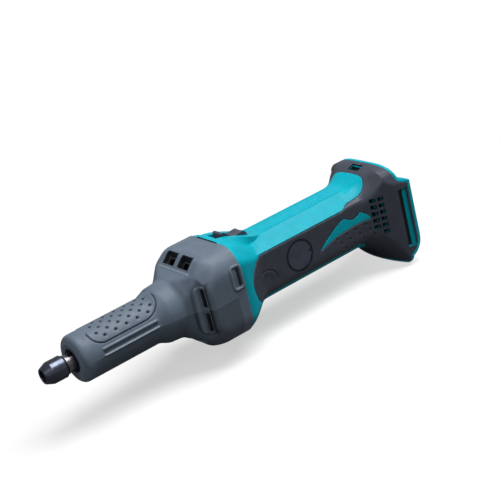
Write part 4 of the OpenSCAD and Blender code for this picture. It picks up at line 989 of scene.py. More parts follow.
            # painted highlight on the frame's rim, painted shade just outside it and in the valley
            relief.add(ahead * rise * ease((edge + 0.2) / 0.7) - 0.7 * valley,
                       ahead * (0.75 * hill(edge - 0.5, 0.8) - 0.5 * hill(edge + 0.7, 0.8)) - 0.6 * valley)
        band = ease((z - 28.3) / 0.6) * ease((self.half - 0.7 - z) / 0.7)
        band = band * (x < self.shoulder_x + self.top_bevel)
        frame = band * ease((end - np.abs(y)) / 0.6)
        # painted highlights along the top frame's edges
        relief.add(self.top_rise * frame, 0.9 * hill(end - 0.5 - np.abs(y), 0.8) * band
                   + 0.8 * hill(z - 29.2, 0.7) * frame)

    def relief(self, x: Array, y: Array, z: Array) -> Relief:
        """Height and wear of all raised and sunk details at the points."""
        around = self.barrel_r * np.arctan2(y, np.maximum(z, 1e-6))
        on_top = (z > 0) & (x < 106)
        relief = Relief(np.zeros_like(x), np.zeros_like(x))
        self.pad.add_to(relief, self.barrel_r, x, around, on_top)
        self.ribs.add_to(relief, x, np.abs(y) > 8, z)
        self.small_details(relief, x, y, z, around, on_top)
        self.vent_frames(relief, x, y, z)
        self.pocket.add_to(relief, x, z, np.abs(y) > 34)
        return relief

    def rear_edge(self, last: Array) -> list[Array]:
        """Rings behind the last row: a small round, then inwards."""
        out = last[:, 1:] / np.linalg.norm(last[:, 1:], axis=1)[:, None]
        rings = []
        for b in np.radians([25, 50, 75, 90]):
            ring = last.copy()
            ring[:, 0] = self.rear - 0.8 + 0.8 * math.sin(b)
            ring[:, 1:] -= out * 0.8 * (1 - math.cos(b))
            rings.append(ring)
        inner = rings[-1].copy()
        inner[:, 1:] -= out * 3.0
        return rings + [inner]

    def build(self) -> bpy.types.Object:
        """Builds the skin from inside the mouth to the turned-in rear edge.

        The side and lower slots are cut along the tool, the top windows downwards: the points inside an
        opening are moved in and painted near black as shade, and the faces between them are left out.
        """
        x, fixed = self.rows()
        a = self.directions(x)
        xx = np.repeat(x[:, None], a.shape[1], axis=1)
        front = fixed[:, None] > 0
        r = np.where(front, fixed[:, None], self.radius(xx, a))
        y, z = r * np.cos(a), r * np.sin(a)
        relief = self.relief(xx, y, z)
        painted_light = np.where(front & (fixed[:, None] < 12.0), 0.0, relief.painted_light)
        r = r + np.where(front, 0.0, relief.height)
        ay, az = np.abs(y), np.abs(z)
        (x0, x1), (s0, s1) = self.slot_ends, self.slot_span
        slots = (ay > 27) & between(az, s0, s1) | (z < -27) & between(ay, s0, s1)
        slots = slots & between(xx, x0, x1)
        (x0, x1), (w0, w1) = self.window_ends, self.window_span
        windows = between(xx, x0, x1) & between(ay, w0, w1) & (z > 26)
        points = np.stack([xx + 7.0 * slots, r * np.cos(a), r * np.sin(a) - 6.0 * windows], axis=-1)
        gone = slots | windows
        shut = gone & np.roll(gone, -1, axis=1)
        keep = ~(shut[:-1] & shut[1:])
        # the openings' walls painted near black as shade
        painted_light = np.where(gone, -6.0, painted_light)
        rear = self.rear_edge(points[-1])
        points = np.concatenate([points, np.stack(rear)])
        painted_light = np.concatenate([painted_light, np.repeat(painted_light[-1:], len(rear), axis=0)])
        keep = np.concatenate([keep, np.ones((len(rear), keep.shape[1]), bool)])
        piece = make_object("boot_skin", [Sheet(points, True, keep, painted_light)], BOOT_RUBBER, Body.HOUSING)
        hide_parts("front_boot")
        return piece


# ---------------------------------------------------------------- the motor housing


@dataclass
class HousingForm:
    """Outer form of the handle housing, shared by the plastic halves and the rubber grips.

    The handle runs through the whole form.  The collar lies behind the boot, the deck under the switch, and
    the flange with its crown, foot and ears carries the battery rails.

    Attributes (millimetres, degrees for angles):
        front: Front end, inside the boot.
        collar_half, collar_end: Half width of the collar in front, and its rear end.
        handle_half, handle_bottom, handle_corner: Half width, depth and lower corners of the handle.
        spine_z, spine_half, face_z: Height and half width of the handle's flat top, and top of its upright
            sides.
        deck_z, deck_half: Height and half width of the deck.
        flange_x, flange_half: Front end and half width of the flange.
        crown_z, plate_x: Top of the flange, and place of the plate behind it.
        arch_x, foot_z, foot_x: Where the underside starts to fall, depth of the foot, and its rear end.
        ear_x, ear_top: Rear edge of the ears and its upper end.
        ear_round, ear_bottom, ear_turn: Radius and lowest point of that edge's round, and where the round
            starts.
        bay_half, bay_floor: Half width and depth of the battery bay.
        groove: Front end, rear end and half width of the rails' grooves.
        rim: Width of the plastic rim along the rear edge.
        dome_x, dome_side, dome_half: Front edge of the rubber on top: place at the middle, place at the sides
            and half width.
        cap, cap_gap: Place (x, z) and radius of a brush cap, and the gap round it.
        knob_slot: Front end, rear end and half width of the knob's slot.
        window: Window over the latch: front end, rear ends in the plastic and in the rubber, and half width.
        vent_x, vent_rows, vent_z, vent_pitch: Side vents: ends of the two columns, openings in each, lower
            and upper end of the highest, and pitch.
        recess: Recess in the sides behind the vents, as (x0, x1, z0, z1).
        wells, well_r: Places (x, z) of the screws' wells on the right side, and their radius.
        stripe: Corners (x, z) of the blade-shaped stripe that the rubber leaves open.
        below_steps, above_steps: Columns between the grid's knots, from the middle below to the side, and
            from the side to the top.
        top_y: Y of the grid's last columns.
    """

    front: float = 166.0
    collar_half: float = 37.6
    collar_end: float = 198.0
    handle_half: float = 25.0
    handle_bottom: float = 25.5
    handle_corner: float = 13.5
    spine_z: float = 27.2
    spine_half: float = 11.0
    face_z: float = 17.5
    deck_z: float = 39.6
    deck_half: float = 13.0
    flange_x: float = 298.0
    flange_half: float = 37.5
    crown_z: float = 38.1
    plate_x: float = 338.0
    arch_x: float = 294.0
    foot_z: float = 53.5
    foot_x: float = 339.5
    ear_x: float = 351.8
    ear_top: float = 20.9
    ear_round: float = 16.0
    ear_bottom: float = 48.0
    ear_turn: float = -70.0
    bay_half: float = 28.0
    bay_floor: float = 41.5
    groove: tuple[float, float, float] = (340.4, 347.2, 31.0)
    rim: float = 2.6
    dome_x: float = 320.5
    dome_side: float = 296.0
    dome_half: float = 26.0
    cap: tuple[float, float, float] = (233.0, 0.0, 12.6)
    cap_gap: float = 0.4
    knob_slot: tuple[float, float, float] = (170.8, 201.3, 6.5)
    window: tuple[float, float, float, float] = (323.5, 329.4, 330.5, 6.5)
    vent_x: tuple[Pair, Pair] = ((312.2, 317.2), (318.9, 323.5))
    vent_rows: tuple[int, int] = (5, 6)
    vent_z: Pair = (12.9, 16.3)
    vent_pitch: float = 6.0
    recess: tuple[float, float, float, float] = (337.3, 342.3, -38.0, 16.0)
    wells: tuple[Pair, ...] = ((174.0, -29.5), (254.0, 16.5), (262.0, -18.5), (292.0, -18.5), (326.0, -33.0),
                               (326.0, 26.0))
    well_r: float = 4.3
    stripe: tuple[Pair, ...] = ((254.5, -6.2), (268, -2.6), (279, -0.7), (290, 0), (302, 0.2), (311, -0.1),
                                (309.8, 3.1), (307, 6), (302.4, 9), (299.8, 7.1), (295.5, 5.6), (290.3, 6.6),
                                (285, 10.4), (278.5, 8.6), (269.7, 4), (261.5, -0.9))
    below_steps: tuple[int, int, int] = (8, 12, 26)
    above_steps: tuple[int, int, int] = (20, 4, 16)
    top_y: tuple[float, ...] = (12.9, 12.2, 11.4, 10.7, 10.2, 9.6, 9.0, 8.0, 6.54, 6.46, 5.5, 4.4, 3.3, 2.2,
                                1.1, 0.35, 0.12, 0.0)

    def __post_init__(self) -> None:
        """Prepares the section tables and the outlines."""
        h, r = self.handle_half, self.handle_corner
        right = arc(h - r, r - self.handle_bottom, r, -90, 0, 10)
        right += [(h, self.face_z - 1.5), (h - 0.5, self.face_z + 0.6),
                  (self.spine_half + 1.5, self.spine_z - 1.3), (self.spine_half, self.spine_z)]
        self.handle = section_radius(right + [(-y, z) for y, z in reversed(right)], 0.45)
        self.collar = section_radius(rounded_square(1.0, 18.0 / self.collar_half), 0.8)
        w, c = self.flange_half, self.crown_z
        right = arc(w - 8.0, 8.0 - self.foot_z, 8.0, -90, 0, 6) + [(w, self.ear_top)]
        right += [(w - a, c - b) for a, b in CROWN_EDGE]
        self.flange = section_radius(right + [(-y, z) for y, z in reversed(right)], 0.8)
        self.ear_c = (self.ear_x - self.ear_round, self.ear_round - self.ear_bottom)
        self.rear_edge = [(self.foot_x, -self.foot_z)]
        self.rear_edge += arc(*self.ear_c, self.ear_round, self.ear_turn, 0, 8)
        self.rear_edge += [(self.ear_x, self.ear_top), (self.plate_x + 3.7, self.ear_top + 4.8),
                           (self.plate_x, self.crown_z)]
        xs = np.linspace(296.0, 334.0, 9)
        low = swept(xs, 296.0, 334.0, -19.5, 2.0 - self.foot_z)
        self.grip_outline = [(183.0, -19.5), (self.arch_x, -19.5)] + list(zip(xs, low))
        self.grip_outline += [(420.0, 2.0 - self.foot_z), (420.0, self.face_z), (196.0, self.face_z),
                              (186.0, 12.5), (179.5, 6.0), (177.0, -0.5), (177.4, -7.5), (179.5, -14.0)]
        side, half = self.dome_side, self.dome_half
        ys = half * np.sin(np.radians(np.linspace(-90, 90, 37)))
        dome = side + (self.dome_x - side) * np.maximum(0.0, 1.0 - np.abs(ys / half) ** 3) ** (1 / 3)
        self.dome_outline = list(zip(dome, ys)) + [(side, 80.0), (420.0, 80.0), (420.0, -80.0), (side, -80.0)]

    def top(self, x: Array) -> Array:
        """Height of the crown's side profile: up along the flange, then down the rear edge of the ears."""
        rise = swept(x, self.flange_x + 2.0, self.plate_x - 2.0, self.spine_z - 0.3, self.crown_z)
        fall = np.interp(x, [self.plate_x, self.plate_x + 3.7, self.ear_x],
                         [self.crown_z, self.ear_top + 4.8, self.ear_top])
        return np.where(x > self.plate_x, fall, rise)

    def bottom(self, x: Array) -> Array:
        """Depth of the foot's side profile: down along the flange, then up the round rear edge."""
        rise = swept(x, self.arch_x, self.plate_x - 2.0, self.handle_bottom - 0.3, self.foot_z)
        cx, cz = self.ear_c
        back = -cz + np.sqrt(np.maximum(self.ear_round ** 2 - (x - cx) ** 2, 0.0))
        turn = math.radians(self.ear_turn)
        arc_x, arc_z = cx + self.ear_round * math.cos(turn), -cz - self.ear_round * math.sin(turn)
        slope = np.interp(x, [self.foot_x, arc_x], [self.foot_z, arc_z])
        return np.where(x > arc_x, back, np.where(x > self.foot_x, slope, rise))

    def plan(self, x: Array) -> Array:
        """Half width of the flange along the tool."""
        return swept(x, self.flange_x, self.plate_x + 2.0, self.handle_half - 0.3, self.flange_half)

    def bay_end(self) -> float:
        """Place where the floor of the battery bay meets the ears' round edge."""
        return self.ear_c[0] + math.sqrt(self.ear_round ** 2 - (self.bay_floor + self.ear_c[1]) ** 2)

    def radius(self, x: Array, a: Array) -> Array:
        """Radius at x in direction a.

        It is the largest of four forms, with the creases between them filled.  The handle is its section.
        The collar is a round square whose size falls along the tool.  The deck is a box under the switch
        whose sides lean outwards in front.  The flange is the least of its plan width over the cosine, its
        top or foot over the sine, its section and a limit that grows to the rear.
        """
        c, s = np.abs(np.cos(a)) + 1e-9, np.sin(a)
        up = np.abs(s) + 1e-9
        handle = np.where(x < self.plate_x + 0.02, self.handle(a), 1.0)
        size = swept(x, 167.0, self.collar_end, self.collar_half, self.handle_half - 0.3)
        collar = soft_min(size / c, size / up, 2.5)
        collar = soft_min(collar, swept(x, 165.0, 199.0, 45.3, 28.4) + 0.3, 1.6)
        collar = soft_min(collar, self.collar(a) * self.collar_half, 1.2)
        collar = np.where(x < self.collar_end + 1.0, collar, 1.0)
        crest = swept(x, 167.0, 215.0, self.deck_z, self.spine_z - 0.3)
        lean = np.radians(swept(x, 178.0, 200.0, 50.0, 10.0))
        half = swept(x, 200.0, 214.0, self.deck_half, self.spine_half - 1.5)
        slope = (half * np.cos(lean) + crest * np.sin(lean)) / (c * np.cos(lean) + up * np.sin(lean))
        deck = np.minimum(np.minimum(slope, (half + 5.0) / c), crest / up)
        deck = np.where((s > 0.3) & (x < 216.0), deck, 1.0)
        limit = self.handle_half + 4.0 + 34.0 * np.maximum((x - self.flange_x) / 40.0, 0.0) ** 2.2
        flange = soft_min(self.plan(x) / c, np.where(s > 0, self.top(x), self.bottom(x)) / up, 1.6)
        flange = soft_min(flange, limit + 0.4, 2.0)
        flange = soft_min(flange, self.flange(a) + 0.15, 0.8) - 2.0 * ease((self.flange_x + 2.0 - x) / 8.0)
        flange = np.where(x > self.flange_x - 6.0, flange, 1.0)
        r = soft_max(handle, collar, 1.5)
        r = soft_max(r, deck, swept(x, 178.0, 196.0, 3.2, 0.6))
        return soft_max(r, flange, 1.2)

    def rows(self) -> Array:
        """Places of the grid's rows, with pairs of lines at the openings' ends."""
        edges = [*self.knob_slot[:2], *self.vent_x[0], *self.vent_x[1], *self.window[1:3], *self.recess[:2],
                 self.foot_x, *self.groove[:2]]
        runs = ((self.front, 200.0, 0.62), (200.0, 262.0, 0.66), (262.0, 316.0, 0.52), (316.0, 336.0, 0.5),
                (336.0, 338.0, 0.25), (338.0, 349.0, 0.45), (349.0, self.ear_x, 0.2))
        return with_edges(spread(*runs), edges)

    def vents(self) -> list[tuple[float, float, float, float]]:
        """Openings in the flange's sides, as (x0, x1, z0, z1)."""
        z0, z1 = self.vent_z
        return [(x0, x1, z0 - self.vent_pitch * i, z1 - self.vent_pitch * i)
                for (x0, x1), count in zip(self.vent_x, self.vent_rows) for i in range(count)]

    def directions(self, x: Array, side: Side) -> Array:
        """Directions of the grid's points, from the middle below round one side to the middle on top.

        Knots with straight runs between them: lines of constant z on the side, of constant y on top, and two
        knots that follow the battery bay's wall and the rail's groove.
        """
        zs = sorted({z for vent in self.vents() for z in vent[2:]} | set(self.recess[2:]))
        z = with_edges(spread((-39.0, 18.5, 0.75)), zs)
        w = np.maximum(self.plan(x), swept(x, 167.0, 198.0, self.collar_half, 24.7))
        b = np.maximum(self.bottom(x), swept(x, 167.0, 198.0, self.collar_half, 25.0))
        h = np.maximum(self.top(x), swept(x, 167.0, 215.0, self.deck_z, 26.0) * (x < 216.0))
        k = w / self.flange_half
        scale = np.maximum(swept(x, 300.0, 315.0, 0.62, 1.0), swept(x, 176.0, 200.0, 1.0, 0.62) * (x < 205.0))
        one = np.ones_like(x)
        wall = self.bay_half * k
        level = np.where(x > self.plate_x, 1.0, h / self.crown_z)
        groove, lip = ((y, np.minimum((self.crown_z - drop) * level, h))
                       for y, drop in ((self.groove[2] * k, 4.9), (wall, 2.9)))
        below = [(0.12 * one, -b), (wall * 0.4, -b), (wall, -b), (w, z[0] * scale)]
        above = [(w, z[-1] * scale), groove, lip, (13.6 * one, h)]
        parts = [(np.zeros((len(x), 1)), -b[:, None])]
        parts += [straight_run(*ends) for ends in zip(below, below[1:], self.below_steps)]
        parts += [(np.repeat(w[:, None], len(z) - 1, axis=1), z[None, 1:] * scale[:, None])]
        parts += [straight_run(*ends) for ends in zip(above, above[1:], self.above_steps)]
        top_y = np.array(self.top_y)[None]
        parts += [(top_y + 0 * h[:, None], h[:, None] + 0 * top_y)]
        ry, rz = (np.concatenate([part[i] for part in parts], axis=1) for i in (0, 1))
        return np.arctan2(rz, side.value * ry)

    def bay_columns(self, count: int) -> tuple[Array, Array, Array]:
        """Which columns of faces lie round the battery bay.

        Args:
            count: Number of the grid's columns.

        Returns:
            Masks for the columns under the bay's floor, along the rail's groove, and over the bay.
        """
        column = np.arange(count - 1)[None]
        top = count - len(self.top_y) - self.above_steps[2]
        groove = between(column, top - self.above_steps[1] - 1, top)
        return column < sum(self.below_steps[:2]), groove, column >= top

    def covered(self, x: Array, y: Array, z: Array) -> Array:
        """Distance inside the part that the rubber covers, negative outside it.

        The cover is all places inside the side outline or, higher up, behind the dome, but for the
        blade-shaped stripe and the rim along the rear edge.
        """
        side = outline_distance(x, z, self.grip_outline)
        dome = np.minimum(outline_distance(x, y, self.dome_outline), z - (self.face_z - 14.0))
        inside = soft_max(side, dome, 16.0)
        blade = outline_distance(x, z, self.stripe)
        inside = np.minimum(inside, np.where(np.abs(y) > 19.0, -blade, 50.0))
        edge = outline_distance(x, z, self.rear_edge, closed=False)
        behind = x > np.interp(z, [-self.foot_z, -47.0, -40.0, -32.0, self.ear_top, self.crown_z],
                               [self.foot_x + 1.0, self.foot_x + 3.0, self.ear_x - 1.3, self.ear_x + 0.7,
                                self.ear_x + 0.7, self.plate_x + 1.0])
        return np.minimum(inside, np.where(behind, -edge, edge) - self.rim)

    def base(self, side: Side) -> tuple[Array, Array, Array, Array, Array]:
        """Grid of the form: x, directions, radius, y and z."""
        x = self.rows()
        a = self.directions(x, side)
        xx = np.repeat(x[:, None], a.shape[1], axis=1)
        r = self.radius(xx, a)
        return xx, a, r, r * np.cos(a), r * np.sin(a)

    def in_vent(self, x: Array, y: Array, z: Array) -> Array:
        """Places inside the side vents."""
        inside = np.zeros(x.shape, bool)
        for x0, x1, z0, z1 in self.vents():
            inside |= between(x, x0, x1) & between(z, z0, z1)
        return inside & (np.abs(y) > 22.0)

    def in_well(self, x: Array, y: Array, z: Array, side: Side) -> Array:
        """Places inside the brush cap's bore or a screw's well."""
        cx, cz, cr = self.cap
        inside = (np.hypot(x - cx, z - cz) < cr + self.cap_gap) & (np.abs(y) > 18)
        if side is Side.RIGHT:
            for px, pz in self.wells:
                inside |= (np.hypot(x - px, z - pz) < self.well_r) & (y > 12)
        return inside


@dataclass
class HousingHalf:
    """One plastic half of the handle housing, with its half of the battery bay.

    Attributes (millimetres for the numbers):
        side, form: Side of the tool, and the form that the halves share.
        cover: How deep the skin is sunk under the rubber.
        seam: Depth of the groove between the halves.
        crease_y, ridge_y: Distances of the crease and of the ridge beside it on the handle's top from the
            middle.
        slot_deep, window_deep, vent_deep, recess_deep: Depths of the openings' bottoms.
    """

    side: Side
    form: HousingForm
    cover: float = 1.4
    seam: float = 0.35
    crease_y: float = 9.2
    ridge_y: float = 10.3
    slot_deep: float = 9.0
    window_deep: float = 7.0
    vent_deep: float = 4.5
    recess_deep: float = 1.6

    def skin(self) -> Sheet:
        """Outer skin: the form, sunk under the rubber, with the knob's slot, vents, recess and rear ears, and
        painted highlights and shade along the rubber's edge, on the handle's crease and in the openings.
        """
        f, s = self.form, self.side.value
        x, a, r, y, z = f.base(self.side)
        ay = np.abs(y)
        inside = f.covered(x, y, z)
        r = r - self.cover * ease((inside + 0.15) / 0.75) - self.seam * hill(ay, 0.3)
        # painted highlight just outside the rubber's edge, painted shade under the rubber
        painted_light = 0.35 * hill(inside + 0.35, 0.5) - 0.4 * ease(inside / 0.6)
        knob = between(x, *f.knob_slot[:2]) & (ay < f.knob_slot[2]) & (z > 20)
        window = between(x, *f.window[:2]) & (ay < f.window[3]) & (z > 20)
        vent = f.in_vent(x, y, z)
        pit = between(x, *f.recess[:2]) & between(z, *f.recess[2:]) & (ay > 22)
        crease = (z > 24.0) * ease((x - 214.0) / 6.0) * ease((306.0 - x) / 12.0)
        fold, ridge = hill(ay - self.crease_y, 0.9), ay - self.ridge_y
        # latch window painted near black as shade; painted highlight on the ridge and painted shade in the
        # crease
        painted_light = np.where(window, -6.0, painted_light) + crease * (0.9 * hill(ridge, 0.7) - 0.6 * fold)
        # vents painted dark as shade
        painted_light = np.where(vent, -0.8, painted_light)
        y2 = r * np.cos(a) - s * (self.vent_deep * vent + self.recess_deep * pit)
        z2 = r * np.sin(a) - self.slot_deep * knob - self.window_deep * window
        points = np.stack([x, y2, z2 - crease * (0.35 * fold - 0.15 * hill(ridge, 0.6))], axis=-1)
        gone = shut_cells(knob) | shut_cells(vent) | shut_cells(f.in_well(x, y, z, self.side))
        # the battery bay is open behind the plate
        floor, groove, top = f.bay_columns(x.shape[1])
        middle = face_x(x)
        gone |= top & (middle > f.plate_x)
        gone |= groove & between(middle, *f.groove[:2])
        gone |= floor & (middle > f.bay_end())
        # rear faces of the ears: rings that go inwards from the last row
        rings = np.repeat(points[-1:], 3, axis=0)
        rings[:2, :, 1] -= s * np.array([0.25, 1.2])[:, None]
        rings[2, :, 1] = s * f.bay_half
        points = np.concatenate([points, rings])
        painted_light = np.concatenate([painted_light, np.zeros(rings.shape[:2])])
        keep = np.concatenate([~gone, np.repeat(~(floor | top), len(rings), axis=0)])
        return Sheet(points, False, keep, painted_light)

    def bay(self) -> list[Sheet]:
        """Inside of the battery bay: plate, floor, side wall with the rail's groove."""
        f, s = self.form, self.side.value
        ys = np.linspace(0.05, f.bay_half, 40)
        edge_y, edge_z = np.array([(0.0, f.crown_z - f.ear_top), *CROWN_EDGE, (40.0, -0.1)]).T
        top = f.crown_z - np.interp(f.flange_half - ys, edge_y, edge_z) - 0.25
        z = -f.bay_floor + (top[None] + f.bay_floor) * np.linspace(0, 1, 60)[:, None]
        plate = np.stack([np.full_like(z, f.plate_x), s * ys[None] + 0 * z, z], axis=-1)
        xs = np.linspace(f.plate_x, f.bay_end(), 24)[:, None]
        floor = np.stack([xs + 0 * ys, s * ys + 0 * xs, np.full((24, 40), -f.bay_floor)], axis=-1)
        x = with_edges(spread((f.plate_x, f.ear_x, 0.5)), f.groove[:2])
        high = np.minimum(f.top(x), f.crown_z - 3.1)
        low = np.where(x < f.bay_end(), -f.bay_floor, -f.bottom(x))
        start = 0.045
        v = with_edges(spread((0.0, 1.0, 0.02)), [start], 0.002)[None]
        z = low[:, None] + (high - low)[:, None] * v
        y = np.where(between(x, *f.groove[:2])[:, None] & (v > start), f.groove[2], f.bay_half)
        wall = np.stack([x[:, None] + 0 * z, s * y, z], axis=-1)
        return [Sheet(plate, outward=(1.0, 0.0, 0.0)), Sheet(floor, outward=(0.0, 0.0, 1.0)),
                Sheet(wall, outward=(0.0, -float(s), 0.0))]

    def build(self) -> bpy.types.Object:
        """Builds the half."""
        name = self.side.name.lower()
        piece = make_object(f"housing_skin_{name}", [self.skin()] + self.bay(), TEAL_PLASTIC, Body.HOUSING)
        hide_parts(f"housing_{name}")
        return piece


@dataclass
class GripHalf:
    """Rubber grip of one side, which runs from the thumb rest back over the flange.

    Attributes (millimetres for the numbers):
        side, form: Side of the tool, and the form that the halves share.
        proud, depth: How far the rubber stands out of the form, and how far its edge rolls down into it.
        dimples, first, pitch: Number of the side's dimples along and down, place (x, z) of the first, and
            pitch.
        row: What each lower row is moved by, along and down.
        rest, rest_front: Middle (x, z) and radius of the groove round the thumb rest, and its front end.
        window_deep, vent_deep, recess_deep, strip_deep: Depths of the openings, and of the strip behind the
            recess.
    """

    side: Side
    form: HousingForm
    proud: float = 0.12
    depth: float = 1.3
    dimples: tuple[int, int] = (4, 3)
    first: Pair = (273.8, -3.5)
    pitch: float = 10.4
    row: Pair = (3.5, 5.6)
    rest: tuple[float, float, float] = (197.0, -8.5, 10.5)
    rest_front: float = 188.0
    window_deep: float = 4.0
    vent_deep: float = 1.6
    recess_deep: float = 2.6
    strip_deep: float = 1.9

    def relief(self, x: Array, y: Array, z: Array) -> tuple[Array, Array]:
        """Dimples with painted shade and a painted highlight on their lower edges, thumb rest with painted
        shade in its groove and a painted highlight just outside it, a ring of painted shade round the brush
        cap, and the seam.

        Returns:
            Depths in millimetres and what is added to the painted light values.
        """
        flank = np.abs(y) > 18.0
        dimple, painted_light = np.zeros_like(x), np.zeros_like(x)
        for i in range(self.dimples[0]):
            for j in range(self.dimples[1]):
                low = self.first[1] - self.row[1] * j
                spot = np.hypot(x - self.first[0] - self.pitch * i - self.row[0] * j, z - low)
                dimple = np.maximum(dimple, hill(spot, 1.4) * flank)
                # painted highlight on each dimple's lower edge
                painted_light = painted_light + 0.6 * hill(spot - 1.3, 0.5) * flank * (z < low - 0.4)
        rx, rz, rr = self.rest
        ring = np.hypot(x - rx, z - rz)
        front = ease((x - self.rest_front) / 2.0) * flank
        groove = hill(ring - rr, 0.8) * front * ease((z - rz + 4.0) / 7.0)
        bowl = ease((rr - 0.5 - ring) / 6.0) * flank
        cx, cz, cr = self.form.cap
        # ring of painted shade round the brush cap
        cap = hill(np.hypot(x - cx, z - cz) - cr - 0.6, 0.9) * flank
        # painted shade in the dimples, round the cap and in the rest's groove; painted highlight just outside
        # the groove
        painted_light = painted_light - 1.3 * np.clip(1.5 * dimple, 0, 1) - 1.6 * cap
        painted_light = painted_light - 0.8 * groove + 0.4 * hill(ring - rr - 0.9, 0.6) * front
        return 0.8 * dimple + 0.65 * groove + 0.5 * bowl + 0.3 * hill(np.abs(y), 0.3), painted_light

    def build(self) -> bpy.types.Object:
        """Builds the grip: the form, a little raised inside the cover's outline, rolled down at its edge."""
        f, s = self.form, self.side.value
        x, a, r, y, z = f.base(self.side)
        inside = f.covered(x, y, z)
        rolled = np.sqrt(np.clip(1.0 - (1.0 - np.clip(inside / 1.1, 0.0, 1.0)) ** 2, 0.0, 1.0))
        depth, painted_light_values = self.relief(x, y, z)
        r = r + (self.proud + self.depth) * rolled - self.depth - depth
        window = between(x, f.window[0], f.window[2]) & (np.abs(y) < f.window[3]) & (z > 20)
        vent = f.in_vent(x, y, z)
        tall = between(z, *f.recess[2:]) & (np.abs(y) > 22)
        pit = between(x, *f.recess[:2]) & tall
        strip = between(x, f.recess[1], f.groove[1]) & tall
        y2 = r * np.cos(a) - s * (self.vent_deep * vent + self.recess_deep * pit + self.strip_deep * strip)
        points = np.stack([x, y2, r * np.sin(a) - self.window_deep * window], axis=-1)
        # window, recess and vents painted near black as shade; painted highlight along the rubber's rolled
        # edge
        painted_light = np.where(window | pit | vent, -6.0, 0.55 * hill(inside - 0.7, 0.55) + painted_light_values)
        gone = shut_cells(vent) | shut_cells(strip) | shut_cells(f.in_well(x, y, z, self.side))
        gone |= ~shut_cells(inside > -0.9)
        gone |= f.bay_columns(x.shape[1])[2] & (face_x(x) > f.plate_x)
        name = self.side.name.lower()
        skin = Sheet(points, False, ~gone, painted_light)
        piece = make_object(f"grip_skin_{name}", [skin], GRIP_RUBBER, Body.HOUSING)
        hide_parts(f"grip_{name}")
        return piece


@dataclass
class Knob:
    """Slide knob of the switch: a thumb lip in front and a low hump behind, on a wide flat base.

    Attributes (millimetres):
        front, rear: Ends along the tool.
        half: Half width.
        base: Height of the underside.
        lip, hump: Heights of the outline's lip and hump, before the hump is lowered.
        bevel: How far the outline draws in from the side edges, whose top and ends so stand proud of the
            middle.
        fall: How far the hump is lowered at the side edges; its flat middle falls by about 0.6 of that.
        base_half, base_thick, base_bevel: Half width, thickness and bevel of the base.
    """

    front: float = 176.5
    rear: float = 200.5
    half: float = 6.0
    base: float = 24.2
    lip: float = 40.8
    hump: float = 37.6
    bevel: float = 1.3
    fall: float = 3.2
    base_half: float = 10.0
    base_thick: float = 1.6
    base_bevel: float = 0.4

    def build(self) -> bpy.types.Object:
        """Builds the knob and its base.

        The lowering grows with the square of the distance from the middle plane, behind the lip and near the
        top.
        """
        a, b, low, lip, hump = self.front, self.rear, self.base + 1.0, self.lip, self.hump
        profile = [(a, low), (b, low), (b, hump - 4.5), (b - 0.6, hump - 2.0), (b - 1.8, hump - 0.6),
                   (b - 3.6, hump), (b - 6.5, hump - 0.2), (b - 10.5, hump - 0.7), (a + 8.8, hump - 0.5),
                   (a + 5.2, lip - 2.4), (a + 2.4, lip - 0.3), (a + 0.9, lip), (a, lip - 1.0)]
        shell = bevelled_bar(profile, self.half, self.bevel)
        x, y, z = np.moveaxis(shell.points, -1, 0)
        upper = ease((z - self.base - 6.0) / 4.0)
        z -= self.fall * (y / self.half) ** 2 * upper * ease((x - a - 5.0) / 6.0)
        top = self.base + self.base_thick
        base = bevelled_bar([(a + 1.0, self.base), (b + 5.0, self.base), (b + 5.0, top), (a + 1.0, top)],
                            self.base_half, self.base_bevel)
        piece = make_object("knob_shell", [shell, base], BLACK_PLASTIC, Body.KNOB, 50.0)
        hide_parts("switch_knob")
        return piece


# ---------------------------------------------------------------- studio


@dataclass(frozen=True)
class Lamp:
    """A flat lamp.

    Attributes:
        name: Its name.
        place, target: Where it stands and where it points, in metres.
        size: Width and height in metres.
        watts: Its power.
    """

    name: str
    place: Triple
    target: Triple
    size: Pair
    watts: float

    def build(self) -> None:
        """Adds the lamp."""
        data = bpy.data.lights.new(self.name, "AREA")
        data.shape = "RECTANGLE"
        data.size, data.size_y = self.size
        data.energy = self.watts
        lamp = bpy.data.objects.new(self.name, data)
        lamp.location = self.place
        aim = Vector(self.target) - Vector(self.place)
        lamp.rotation_euler = aim.to_track_quat("-Z", "Y").to_euler()
        bpy.context.scene.collection.objects.link(lamp)


